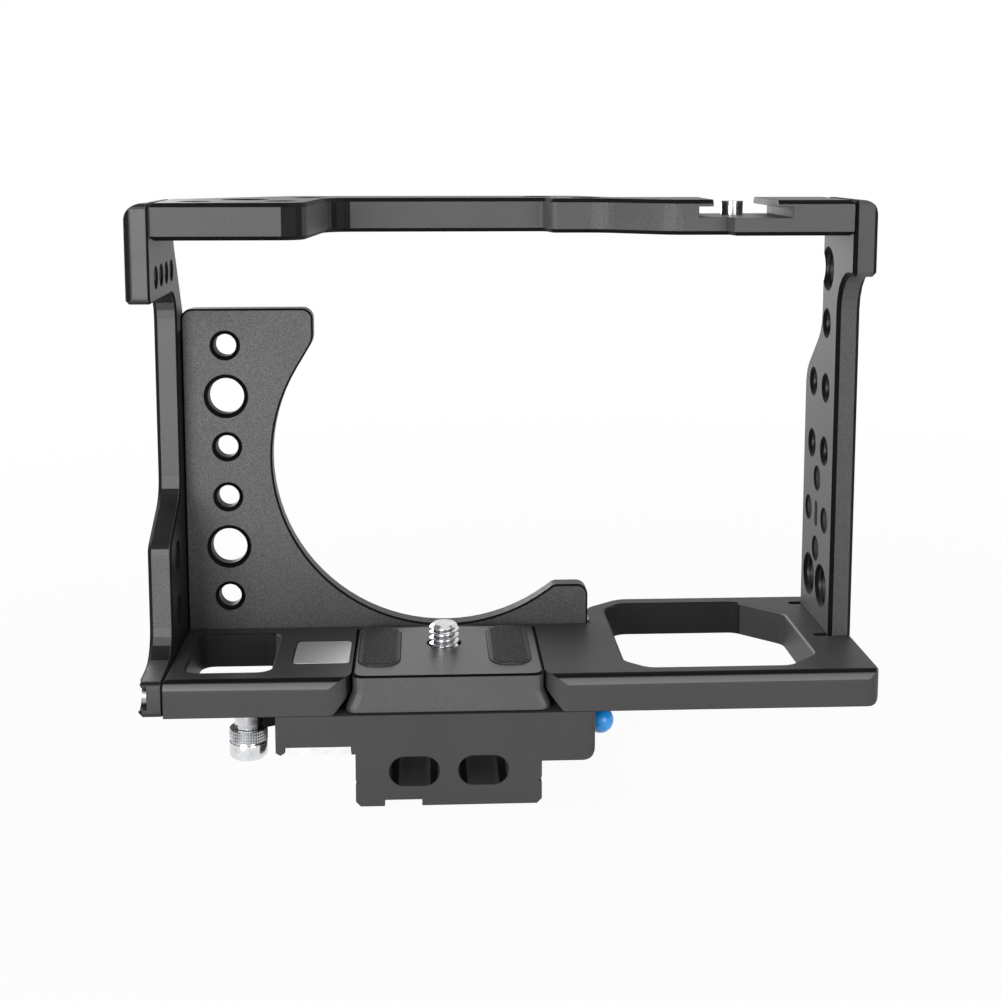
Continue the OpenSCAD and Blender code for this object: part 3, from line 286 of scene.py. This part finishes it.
def polished_steel(name, colours, rough=0.16, lathe=0.15):
    """Turned and polished stainless steel: bright, with faint lathe lines round the upright axis."""
    material, tree, shader, coords = new_material(name)
    lines = add_node(
        tree, "ShaderNodeTexWave",
        {"Vector": coords, "Scale": per_metre(0.12) / WAVE_RADIANS, "Distortion": 0.6}, bands_direction="Z")
    smudge = noise(tree, coords, size_mm=1.6)
    tree.links.new(two_tone(tree, smudge, colours), shader.inputs["Base Color"])
    shader.inputs["Metallic"].default_value = 1.0
    tree.links.new(ramp(tree, smudge, [(0.2, rough), (0.8, rough + 0.1)]), shader.inputs["Roughness"])
    add_bump(tree, shader, lines.outputs["Fac"], depth_mm=0.004, strength=lathe)
    return material


def brushed_aluminium(name, colours):
    """Bare aluminium brushed along X: satin silver with fine straight streaks."""
    material, tree, shader, coords = new_material(name)
    stretch = add_node(tree, "ShaderNodeMapping", {"Vector": coords, "Scale": (0.04, 1, 1)})
    streaks = noise(tree, stretch.outputs["Vector"], size_mm=0.09)
    tree.links.new(two_tone(tree, streaks, colours), shader.inputs["Base Color"])
    shader.inputs["Metallic"].default_value = 0.8
    tree.links.new(ramp(tree, streaks, [(0.2, 0.34), (0.8, 0.46)]), shader.inputs["Roughness"])
    add_bump(tree, shader, streaks, depth_mm=0.006, strength=0.2)
    return material


def moulded_rubber(name, colours):
    """Moulded silicone rubber: nearly black, matt, with the fine grain of its mould."""
    material, tree, shader, coords = new_material(name)
    grain = noise(tree, coords, size_mm=0.12)
    tree.links.new(two_tone(tree, grain, colours), shader.inputs["Base Color"])
    shader.inputs["Roughness"].default_value = 0.62
    shader.inputs["IOR"].default_value = 1.43
    add_bump(tree, shader, grain, depth_mm=0.02, strength=0.3)
    return material


def glossy_abs(name, colours):
    """Injection moulded ABS with a polished, faintly uneven surface."""
    material, tree, shader, coords = new_material(name)
    wave = noise(tree, coords, size_mm=1.4)
    tree.links.new(two_tone(tree, wave, colours), shader.inputs["Base Color"])
    shader.inputs["IOR"].default_value = 1.54
    shader.inputs["Roughness"].default_value = 0.2
    add_bump(tree, shader, wave, depth_mm=0.02, strength=0.08)
    return material


def seen_by_eye(tree):
    """1 for camera, glossy and transmission rays: what the eye sees directly or in metal and glass."""
    path = tree.nodes.new("ShaderNodeLightPath")
    total = path.outputs["Is Camera Ray"]
    for name in ("Is Glossy Ray", "Is Transmission Ray"):
        total = calculated(tree, "MAXIMUM", total, path.outputs[name])
    return total


def floor_material():
    """White paper sweep: it glows white to the camera and keeps a soft shadow."""
    material, tree, shader, coords = new_material("White paper")
    shader.inputs["Base Color"].default_value = linear("#f4f4f4")
    shader.inputs["Roughness"].default_value = 0.9
    glow = add_node(tree, "ShaderNodeEmission", {"Color": linear("#ffffff")})
    reach = add_node(tree, "ShaderNodeVectorMath", {0: coords}, operation="LENGTH").outputs["Value"]
    share = ramp(tree, reach, [(0.15, 0.95), (0.5, 1.0)])
    amount = calculated(tree, "MULTIPLY", seen_by_eye(tree), share)
    mix = add_node(tree, "ShaderNodeMixShader", {
        0: amount, 1: shader.outputs["BSDF"], 2: glow.outputs["Emission"]})
    output = next(node for node in tree.nodes if node.type == "OUTPUT_MATERIAL")
    tree.links.new(mix.outputs["Shader"], output.inputs["Surface"])
    return material


def dress(names, material):
    """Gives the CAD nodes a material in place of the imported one."""
    for name in names:
        node = frame["nodes"][name]
        node.data.materials.clear()
        node.data.materials.append(material)


# Painted light and shade on single plates: places that would reflect a brighter or a darker part of the
# studio

def paint_light_base_plate(finish):
    """Painted highlight on the rounded near edge, which is drawn lighter, and painted shade on the window
    walls that face the camera, which are drawn darker.
    """
    tree = finish.node_tree
    paint_light_and_shade(finish, [slant_mask(tree, "Z", (0.24, 0.7))], "#6c6c6c")
    behind_near_edge = within(tree, "Y", -18, 50)
    paint_light_and_shade(finish, [behind_near_edge, facing(tree, (0.55, -0.83, 0), 0.2)], "#222222")


def paint_light_top_plate(finish):
    """Painted dark reflection: the left bend and the step in the middle are drawn dark."""
    tree = finish.node_tree
    left_bend = within(tree, "X", -60, -20)
    paint_light_and_shade(finish, [slant_mask(tree, "X", (0.14, 0.84)), left_bend], "#161616")
    middle_step = within(tree, "X", -10, 20)
    paint_light_and_shade(finish, [slant_mask(tree, "X", (0.5, 0.98)), middle_step], "#161616")


def paint_light_left_side_plate(finish):
    """Painted dark reflection on its bends and slopes, which are drawn dark, and painted shade on its inner
    side below the head and on its foot.
    """
    tree = finish.node_tree
    paint_light_and_shade(finish, [slant_mask(tree, "X", (0.4, 0.96), fade=0.36)], "#101010")
    between_faces = within(tree, "X", -62.5, -58)
    paint_light_and_shade(finish, [slant_mask(tree, "Z", (0.5, 0.9), fade=0.1), between_faces], "#222222")
    below_head = within(tree, "Z", 0, 94)
    paint_light_and_shade(finish, [facing(tree, (1, 0, 0), 0.97), below_head], "#1c1c1c")
    darker_foot(finish, 22, 32, 0.55)


def paint_light_lens_plate(finish):
    """Painted shade: the lower part is drawn darker."""
    darker_foot(finish, 28, 50, 0.62)


PAINTED_LIGHT = {
    "base_plate": paint_light_base_plate,
    "top_plate": paint_light_top_plate,
    "left_side_plate": paint_light_left_side_plate,
    "lens_plate": paint_light_lens_plate,
}


# Making meshes

def only(*objects):
    """Deselects everything and selects these objects; the first one becomes active."""
    if bpy.context.mode != "OBJECT":
        bpy.ops.object.mode_set(mode="OBJECT")
    bpy.ops.object.select_all(action="DESELECT")
    for piece in objects:
        piece.select_set(True)
    bpy.context.view_layer.objects.active = objects[0]


def start_piece(name):
    """Names the primitive that was just added and puts its place and size into its mesh."""
    piece = bpy.context.object
    piece.name = name
    bpy.ops.object.transform_apply(location=True, rotation=True, scale=True)
    return piece


def finish_piece(piece, body, nodes, material, angle=35):
    """Shades the piece, gives it its material, hangs it on the body it rides on, and hides the CAD nodes it
    stands for.
    """
    only(piece)
    bpy.ops.object.shade_smooth_by_angle(angle=radians(angle))
    piece.data.materials.clear()
    piece.data.materials.append(material)
    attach(piece, body)
    if nodes:
        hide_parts(*nodes)


def edit_all(piece):
    """Enters edit mode with the whole mesh selected."""
    only(piece)
    bpy.ops.object.mode_set(mode="EDIT")
    bpy.ops.mesh.select_all(action="SELECT")


def select_faces(piece, test):
    """Selects the faces that pass a test of their centre and normal; the piece stays in edit mode."""
    only(piece)
    bpy.ops.object.mode_set(mode="EDIT")
    bpy.ops.mesh.select_mode(type="FACE")
    bpy.ops.mesh.select_all(action="DESELECT")
    bpy.ops.object.mode_set(mode="OBJECT")
    for face in piece.data.polygons:
        face.select = test(face.center, face.normal)
    bpy.ops.object.mode_set(mode="EDIT")


def select_edges(piece, test):
    """Selects the edges that pass a test of their two vertices; the piece stays in edit mode."""
    only(piece)
    bpy.ops.object.mode_set(mode="EDIT")
    bpy.ops.mesh.select_mode(type="EDGE")
    bpy.ops.mesh.select_all(action="DESELECT")
    bpy.ops.object.mode_set(mode="OBJECT")
    for edge in piece.data.edges:
        edge.select = test(*(piece.data.vertices[i] for i in edge.vertices))
    bpy.ops.object.mode_set(mode="EDIT")


def chamfer_end(piece, side, width):
    """Chamfers the rim of a cylinder's top (side 1) or underside (side -1)."""
    select_faces(piece, lambda place, normal: side * normal.z > FLAT_END)
    bpy.ops.mesh.bevel(offset=width, segments=1)
    bpy.ops.object.mode_set(mode="OBJECT")


def bevel_edges(piece, width, segments=2, angle=40):
    """Rounds the edges that are sharper than an angle."""
    bevel = piece.modifiers.new("Bevel", "BEVEL")
    bevel.width = width
    bevel.segments = segments
    bevel.limit_method = "ANGLE"
    bevel.angle_limit = radians(angle)
    only(piece)
    bpy.ops.object.modifier_apply(modifier=bevel.name)


def repeat(piece, count, offset):
    """Repeats a mesh count times, each copy moved on by offset."""
    array = piece.modifiers.new("Repeat", "ARRAY")
    array.count = count
    array.use_relative_offset = False
    array.use_constant_offset = True
    array.constant_offset_displace = offset
    only(piece)
    bpy.ops.object.modifier_apply(modifier=array.name)


def cut(piece, tool, operation="DIFFERENCE"):
    """Applies a boolean of piece and tool, and removes the tool."""
    only(piece)
    boolean = piece.modifiers.new("Cut", "BOOLEAN")
    boolean.operation = operation
    boolean.solver = "EXACT"
    boolean.object = tool
    bpy.ops.object.modifier_apply(modifier=boolean.name)
    bpy.data.objects.remove(tool, do_unlink=True)


def measured(node):
    """Low and high corner of a CAD node's box, its middle and its size."""
    low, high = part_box(node)
    return low, high, (low + high) / 2, high - low


def cylinder(name, radius, low, high, centre, sides=64):
    """Upright cylinder about centre's axis, from height low to height high."""
    bpy.ops.mesh.primitive_cylinder_add(
        vertices=sides, radius=radius, depth=high - low, location=(centre.x, centre.y, (low + high) / 2))
    return start_piece(name)


def block(name, centre, size):
    """Cuboid about a centre."""
    bpy.ops.mesh.primitive_cube_add(size=1, location=centre, scale=size)
    return start_piece(name)


def swept_turns(name, root, crest, pitch, length, steps):
    """V profile of one pitch between two radii, swept up the Z axis to at least two pitches over length."""
    bpy.ops.mesh.primitive_plane_add(size=pitch, location=(0, 0, 0))
    piece = start_piece(name)
    flat_start = pitch * 0.42
    flat_end = pitch * 0.58
    profile = [(root, 0), (crest, flat_start), (crest, flat_end), (root, pitch)]
    for vertex, (radius, z) in zip([piece.data.vertices[i] for i in (0, 1, 3, 2)], profile):
        vertex.co = (radius, 0, z)
    edit_all(piece)
    bpy.ops.mesh.delete(type="ONLY_FACE")
    select_edges(piece, lambda a, b: {a.index, b.index} == {0, 2})
    bpy.ops.mesh.delete(type="EDGE")
    bpy.ops.object.mode_set(mode="OBJECT")
    screw = piece.modifiers.new("Thread", "SCREW")
    screw.axis = "Z"
    screw.angle = 2 * pi
    screw.screw_offset = pitch
    screw.iterations = int(length / pitch) + 3
    screw.steps = steps
    screw.render_steps = steps
    screw.use_merge_vertices = True
    screw.merge_threshold = pitch * WELD_SHARE
    bpy.ops.object.modifier_apply(modifier=screw.name)
    return piece


def trim(low, high, fill):
    """Keeps what lies between two heights of the mesh that is in edit mode, and selects it."""
    for height, lower_end in ((low, True), (high, False)):
        bpy.ops.mesh.select_all(action="SELECT")
        bpy.ops.mesh.bisect(
            plane_co=(0, 0, height), plane_no=(0, 0, 1), use_fill=fill, clear_inner=lower_end,
            clear_outer=not lower_end)
    bpy.ops.mesh.select_all(action="SELECT")


def threaded_rod(name, centre, low, high, outer, inner, pitch):
    """Closed rod with a V thread, from height low to height high."""
    length = high - low
    rod = swept_turns(name, inner, outer, pitch, length, steps=36)
    edit_all(rod)
    bpy.ops.mesh.remove_doubles(threshold=pitch * WELD_SHARE)
    trim(pitch, pitch + length, fill=True)
    bpy.ops.mesh.normals_make_consistent(inside=False)
    bpy.ops.object.mode_set(mode="OBJECT")
    rod.location = (centre.x, centre.y, low - pitch)
    bpy.ops.object.transform_apply(location=True, rotation=True, scale=True)
    return rod


def thread_in_hole(name, radius, ridge, length, pitch, place, axis):
    """Helical ridge on the wall of a hole, as long as the wall; it is rooted just under the surface."""
    turn = swept_turns(name, radius + 0.03 * MM, radius - ridge, pitch, length, steps=30)
    edit_all(turn)
    trim(pitch, pitch + length, fill=False)
    bpy.ops.transform.translate(value=(0, 0, -pitch - length / 2))
    bpy.ops.object.mode_set(mode="OBJECT")
    turn.rotation_mode = "QUATERNION"
    turn.rotation_quaternion = axis.to_track_quat("Z", "Y")
    turn.location = place
    bpy.ops.object.transform_apply(location=True, rotation=True, scale=True)
    return turn


def outside_rounded(place, half, corner):
    """True for a point outside a rectangle with rounded corners about the origin."""
    x = max(abs(place.x) - (half.x - corner), 0)
    y = max(abs(place.y) - (half.y - corner), 0)
    return x * x + y * y > corner * corner


def zigzag_row(name, width, depth, slope, columns):
    """Flat row of columns along X that lean forwards and back in turn."""
    bpy.ops.mesh.primitive_plane_add(size=depth, location=(0, 0, 0))
    row = start_piece(name)
    edit_all(row)
    bpy.ops.transform.resize(value=(width / depth, 1, 1))
    bpy.ops.object.mode_set(mode="OBJECT")
    for vertex in row.data.vertices:
        vertex.co.y += slope if vertex.co.x > 0 else -slope
    edit_all(row)
    bpy.ops.transform.translate(value=(width / 2, 0, 0))
    bpy.ops.object.mode_set(mode="OBJECT")
    mirror = row.modifiers.new("Lean", "MIRROR")
    mirror.use_axis = (True, False, False)
    bpy.ops.object.modifier_apply(modifier=mirror.name)
    repeat(row, columns // 2, (2 * width, 0, 0))
    return row


def zigzag_ribs(name, centre, size, floor, height, spacing, pad_corner):
    """Rows of zigzag ribs that fill the rounded outline of one pad."""
    columns = 8
    rim = 0.5 * MM
    side_margins = 1.6 * MM
    end_margins = 1.8 * MM
    depth = spacing * 0.5
    slope = spacing * 0.45
    ribs = zigzag_row(name, (size.x - side_margins) / columns, depth, slope, columns)
    repeat(ribs, int((size.y - end_margins) / spacing), (0, spacing, 0))
    low = Vector(ribs.bound_box[0])
    high = Vector(ribs.bound_box[6])
    place = Vector((centre.x, centre.y, floor)) - (low + high) / 2
    edit_all(ribs)
    bpy.ops.transform.translate(value=(place.x, place.y, floor))
    bpy.ops.mesh.remove_doubles(threshold=0.01 * MM)
    bpy.ops.object.mode_set(mode="OBJECT")
    half = Vector((size.x / 2 - rim, size.y / 2 - rim))
    select_faces(ribs, lambda spot, normal: outside_rounded(spot - centre, half, pad_corner - rim))
    bpy.ops.mesh.delete(type="FACE")
    bpy.ops.mesh.select_all(action="SELECT")
    bpy.ops.mesh.extrude_region_move(TRANSFORM_OT_translate={"value": (0, 0, height)})
    bpy.ops.mesh.select_all(action="SELECT")
    bpy.ops.mesh.normals_make_consistent(inside=False)
    bpy.ops.object.mode_set(mode="OBJECT")
    return ribs


# Settings that a user would change

class CageSettings(bpy.types.PropertyGroup):
    """Sizes of the cage's threads, knurls and pads."""

    thread_pitch: FloatProperty(
        name="Camera thread pitch", description="Rise of the camera screw's thread in one turn",
        unit="LENGTH", default=1.27 * MM, precision=5)
    knurl_count: IntProperty(
        name="Knurls round the knob", description="Number of knurls round the knob's collar",
        default=44, min=12, max=80)
    ridge: FloatProperty(
        name="Thread ridge", description="How far the threads stand into the holes",
        unit="LENGTH", default=0.22 * MM, precision=5)
    pad_corner: FloatProperty(
        name="Pad corner", description="Corner radius of the grip pads",
        unit="LENGTH", default=4.2 * MM, precision=5)
    pad_rib: FloatProperty(
        name="Pad rib spacing", description="Distance between the zigzag ribs of the grip pads",
        unit="LENGTH", default=1.1 * MM, precision=5)


class StageSettings(bpy.types.PropertyGroup):
    """Place, tilt and lens of the camera."""

    camera_place: FloatVectorProperty(
        name="Camera place", description="Where the camera stands", subtype="TRANSLATION", unit="LENGTH",
        default=(-0.00469, -0.32063, 0.13241))
    camera_tilt: FloatVectorProperty(
        name="Camera tilt", description="Tilt from level, roll, and turn about the upright axis",
        subtype="EULER", default=(-0.128, 0.0, -0.0505))
    lens: FloatProperty(
        name="Lens", description="Focal length on a 36 mm sensor", subtype="DISTANCE_CAMERA", default=55.35)
    drop: FloatProperty(
        name="Lens drop", description="Vertical shift of the lens as a share of the frame", default=-0.15)


# Pieces

class CAGE_OT_plates(bpy.types.Operator):
    """Give the plates, the block, the lever and the jaw their anodised finish, with painted light and shade
    """

    bl_idname = "cage.plates"
    bl_label = "Anodised Plates"

    def execute(self, context):
        for node, (tone, axis, slants) in PLATES.items():
            name = f"Anodised aluminium, {node.replace('_', ' ')}"
            finish = anodised_aluminium(name, tone, axis, slants)
            if node in PAINTED_LIGHT:
                PAINTED_LIGHT[node](finish)
            dress([node], finish)
        dress(["quick_release_plate"], anodised_aluminium(
            "Anodised aluminium, sliding plate", ("#5c5c5c", "#646464"), rough=0.36, metal=0.6))
        dress(["lock_lever", "clamp_jaw"], anodised_aluminium(
            "Anodised aluminium, milled", ("#1e1e1e", "#2a2a2a"), rough=0.36))
        return {"FINISHED"}


class CAGE_OT_fasteners(bpy.types.Operator):
    """Give the screws, the pins, the steel strip, the inlay and the button their finish"""

    bl_idname = "cage.fasteners"
    bl_label = "Screws and Small Parts"

    def execute(self, context):
        dress(BLACK_SCREW_NODES, anodised_aluminium("Black oxide steel", ("#151515", "#202020"), rough=0.34))
        dress(TURNED_STEEL_NODES, polished_steel("Turned steel", ("#8e8f92", "#a5a6a9"), rough=0.3))
        dress(POLISHED_NODES, polished_steel("Polished steel", ("#c6c7c9", "#dcdddf")))
        dress(["wear_strip"], polished_steel(
            "Polished steel strip", ("#f2f2f2", "#fafafa"), rough=0.2, lathe=0))
        dress(["inlay_plate"], brushed_aluminium("Brushed aluminium", ("#c6c6c6", "#dedede")))
        dress(["release_button"], glossy_abs("Glossy ABS, blue", ("#1296fa", "#30acff")))
        return {"FINISHED"}


class CAGE_OT_camera_screw(bpy.types.Operator):
    """Make the camera screw with its helical thread, chamfered tip, head and coin slot"""

    bl_idname = "cage.camera_screw"
    bl_label = "Camera Screw"

    def execute(self, context):
        pitch = context.scene.cage.thread_pitch
        thread_depth = 0.6 * pitch
        neck_radius = 3.7 * MM
        coin_slot_width = 1.4 * MM
        coin_slot_depth = MM
        low, high, centre, size = measured("camera_screw")
        plate_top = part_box("quick_release_plate")[1].z
        head_top = low.z + 2.1 * MM
        thread_start = head_top - 0.5 * MM
        neck_start = head_top - 0.6 * MM
        neck_top = plate_top - 1.5 * MM
        screw = threaded_rod(
            "threaded_camera_screw", centre, thread_start, high.z, CAMERA_SCREW_RADIUS,
            CAMERA_SCREW_RADIUS - thread_depth, pitch)
        tip = cylinder("Tip", CAMERA_SCREW_RADIUS, low.z, high.z, centre)
        chamfer_end(tip, 1, 0.8 * MM)
        cut(screw, tip, "INTERSECT")
        cut(screw, cylinder("Neck", neck_radius, neck_start, neck_top, centre), "UNION")
        head = cylinder("Head", size.x / 2, low.z, head_top, centre, sides=96)
        bevel_edges(head, 0.25 * MM)
        cut(screw, head, "UNION")
        underside = (centre.x, centre.y, low.z)
        cut(screw, block("Coin slot", underside, (2 * size.x, coin_slot_width, 2 * coin_slot_depth)))
        finish_piece(
            screw, "screw", ["camera_screw"],
            polished_steel("Polished steel, camera screw", ("#c4c5c7", "#dfe0e2"), rough=0.14), angle=30)
        return {"FINISHED"}


class CAGE_OT_threads(bpy.types.Operator):
    """Make the threads of all the threaded holes, one piece for each plate"""

    bl_idname = "cage.threads"
    bl_label = "Threads of the Holes"

    def execute(self, context):
        settings = context.scene.cage
        holes = [mount for mount in frame["record"]["mounts"] if mount["kind"] == "threaded_hole"]
        # The threads are drawn darker than the plates: partly their black anodise, partly painted shade
        # inside the holes
        metal = polished_steel("Anodised threads in painted bore shade", ("#2c2c2c", "#3e3e3e"), rough=0.34)
        for plate in ("top", "lens", "right", "left"):
            turns = []
            for hole in (mount for mount in holes if mount["name"].startswith(plate)):
                radius = hole["dims"]["r_mm"] * MM
                length = hole["dims"]["length_mm"] * MM
                share = 1 if radius < LARGEST_QUARTER_INCH_RADIUS else THREE_EIGHTHS_PITCH_SHARE
                turns.append(thread_in_hole(
                    f"{plate}_thread_{len(turns)}", radius, settings.ridge, length,
                    settings.thread_pitch * share, Vector(hole["pos_m"]), Vector(hole["axis"])))
            only(*turns)
            bpy.ops.object.join()
            piece = bpy.context.object
            piece.name = f"{plate}_plate_threads"
            finish_piece(piece, "cage", [], metal, angle=60)
        return {"FINISHED"}


class CAGE_OT_knob(bpy.types.Operator):
    """Make the knob with its knurled collar, groove and chamfered barrel"""

    bl_idname = "cage.knob"
    bl_label = "Knob"

    def execute(self, context):
        knurl_rows = 4
        knurl_height = 0.2 * MM
        sink_radius = 2.4 * MM
        sink_depth = 1.2 * MM
        low, high, centre, size = measured("knob_sleeve")
        radius = size.x / 2
        barrel_top = low.z + 3.4 * MM
        groove_top = barrel_top + 0.35 * MM
        knob = cylinder("turned_knob", radius, low.z, barrel_top, centre, sides=72)
        chamfer_end(knob, -1, 0.6 * MM)
        select_faces(knob, lambda place, normal: normal.z > FLAT_END)
        bpy.ops.mesh.inset(thickness=0.35 * MM)
        bpy.ops.mesh.extrude_region_move(TRANSFORM_OT_translate={"value": (0, 0, groove_top - barrel_top)})
        bpy.ops.object.mode_set(mode="OBJECT")
        cut(knob, cylinder("Bore", KNOB_BORE_RADIUS, low.z - MM, high.z + MM, centre))
        cut(knob, cylinder("Sink", sink_radius, low.z - MM, low.z + sink_depth, centre))
        bevel_edges(knob, 0.08 * MM)
        steel = polished_steel("Polished steel, knob", ("#d0d1d3", "#e6e7e8"), rough=0.12)
        finish_piece(knob, "knob", ["knob_sleeve"], steel)
        collar = cylinder(
            "knurled_collar", radius - 0.12 * MM, groove_top, high.z, centre,
            sides=context.scene.cage.knurl_count)
        select_faces(collar, lambda place, normal: abs(normal.z) > FLAT_END)
        bpy.ops.mesh.inset(thickness=0.3 * MM)
        row_height = (high.z - groove_top) / knurl_rows
        for row in range(1, knurl_rows):
            bpy.ops.mesh.select_all(action="SELECT")
            bpy.ops.mesh.bisect(plane_co=(0, 0, groove_top + row * row_height), plane_no=(0, 0, 1))
        select_faces(collar, lambda place, normal: abs(normal.z) < FLAT_END)
        bpy.ops.mesh.poke(offset=knurl_height)
        bpy.ops.object.mode_set(mode="OBJECT")
        cut(collar, cylinder("Bore", KNOB_BORE_RADIUS, low.z - MM, high.z + MM, centre))
        finish_piece(
            collar, "knob", [],
            polished_steel("Knurled steel, collar", ("#a9aaad", "#c4c5c8"), rough=0.22), angle=20)
        return {"FINISHED"}


class CAGE_OT_pads(bpy.types.Operator):
    """Make both grip pads with their zigzag ribs"""

    bl_idname = "cage.pads"
    bl_label = "Grip Pads"

    def execute(self, context):
        settings = context.scene.cage
        rib_height = 0.22 * MM
        rubber = moulded_rubber("Silicone rubber, moulded", ("#242424", "#363636"))
        for side in ("left", "right"):
            node = f"grip_pad_{side}"
            _, high, centre, size = measured(node)
            body_centre = centre - Vector((0, 0, rib_height / 2))
            pad = block(f"ribbed_pad_{side}", body_centre, (size.x, size.y, size.z - rib_height))
            select_edges(pad, lambda a, b: abs(a.co.z - b.co.z) > size.z / 3)
            bpy.ops.mesh.bevel(offset=settings.pad_corner, segments=10)
            bpy.ops.object.mode_set(mode="OBJECT")
            bevel_edges(pad, 0.16 * MM, segments=3)
            ribs = zigzag_ribs(
                f"Ribs {side}", centre, size, high.z - rib_height, rib_height, settings.pad_rib,
                settings.pad_corner)
            only(pad, ribs)
            bpy.ops.object.join()
            finish_piece(pad, "quick_plate", [node], rubber, angle=50)
        return {"FINISHED"}


class CAGE_OT_stage(bpy.types.Operator):
    """Make the pale floor, the lamps and the camera"""

    bl_idname = "cage.stage"
    bl_label = "Stage"

    def execute(self, context):
        camera = make_camera(context.scene.cage_stage)
        context.scene.camera = camera
        for name, (place, target, side, power) in LAMPS.items():
            make_lamp(name, place, target, side, power)
        context.scene.world = make_world()
        context.scene.view_settings.view_transform = "Standard"
        bpy.ops.mesh.primitive_circle_add(
            vertices=96, radius=FLOOR_RADIUS, fill_type="NGON", location=(0, 0, FLOOR_HEIGHT))
        floor = start_piece("Floor")
        floor.data.materials.append(floor_material())
        return {"FINISHED"}


def make_camera(settings):
    """Camera with the place, tilt and lens of the stage's settings."""
    data = bpy.data.cameras.new("Camera")
    data.lens = settings.lens
    data.sensor_width = 36
    data.shift_y = settings.drop
    data.clip_start = 0.01
    data.clip_end = 20
    camera = bpy.data.objects.new("Camera", data)
    bpy.context.collection.objects.link(camera)
    camera.location = settings.camera_place
    tilt, roll, turn = settings.camera_tilt
    camera.rotation_euler = Euler((pi / 2 + tilt, roll, turn))
    return camera


def make_lamp(name, place, target, side, power):
    """Square soft box that faces a target."""
    data = bpy.data.lights.new(name, "AREA")
    data.shape = "SQUARE"
    data.size = side
    data.energy = power
    softbox = bpy.data.objects.new(name, data)
    bpy.context.collection.objects.link(softbox)
    softbox.location = place
    softbox.rotation_mode = "QUATERNION"
    softbox.rotation_quaternion = (Vector(target) - Vector(place)).to_track_quat("-Z", "Y")


def make_world():
    """White studio that is bright to the eye and gives the object only a little light."""
    world = bpy.data.worlds.new("Studio")
    world.use_nodes = True
    tree = world.node_tree
    tree.nodes.clear()
    strength = add_node(
        tree, "ShaderNodeMapRange", {"Value": seen_by_eye(tree), "To Min": 0.2, "To Max": 1.0})
    background = add_node(
        tree, "ShaderNodeBackground", {"Strength": strength.outputs["Result"], "Color": linear("#ffffff")})
    output = tree.nodes.new("ShaderNodeOutputWorld")
    tree.links.new(background.outputs["Background"], output.inputs["Surface"])
    return world


class CAGE_PT_panel(bpy.types.Panel):
    """Sidebar panel with one button for each piece"""

    bl_idname = "CAGE_PT_panel"
    bl_label = "Camera Cage"
    bl_space_type = "VIEW_3D"
    bl_region_type = "UI"
    bl_category = "Camera Cage"

    def draw(self, context):
        for operator in OPERATORS:
            self.layout.operator(operator.bl_idname)
        for name in CageSettings.__annotations__:
            self.layout.prop(context.scene.cage, name)
        for name in StageSettings.__annotations__:
            self.layout.prop(context.scene.cage_stage, name)


OPERATORS = (
    CAGE_OT_plates, CAGE_OT_fasteners, CAGE_OT_threads, CAGE_OT_camera_screw, CAGE_OT_knob, CAGE_OT_pads,
    CAGE_OT_stage,
)
CLASSES = (CageSettings, StageSettings) + OPERATORS + (CAGE_PT_panel,)


def register():
    """Registers all classes and puts both groups of settings on the scene."""
    for cls in CLASSES:
        bpy.utils.register_class(cls)
    bpy.types.Scene.cage = PointerProperty(type=CageSettings)
    bpy.types.Scene.cage_stage = PointerProperty(type=StageSettings)


def unregister():
    """Undoes register, in reverse order."""
    del bpy.types.Scene.cage_stage
    del bpy.types.Scene.cage
    for cls in reversed(CLASSES):
        bpy.utils.unregister_class(cls)


def main():
    """Makes all pieces and the stage."""
    register()
    bpy.ops.cage.plates()
    bpy.ops.cage.fasteners()
    bpy.ops.cage.threads()
    bpy.ops.cage.camera_screw()
    bpy.ops.cage.knob()
    bpy.ops.cage.pads()
    bpy.ops.cage.stage()


if __name__ == "__main__":
    main()
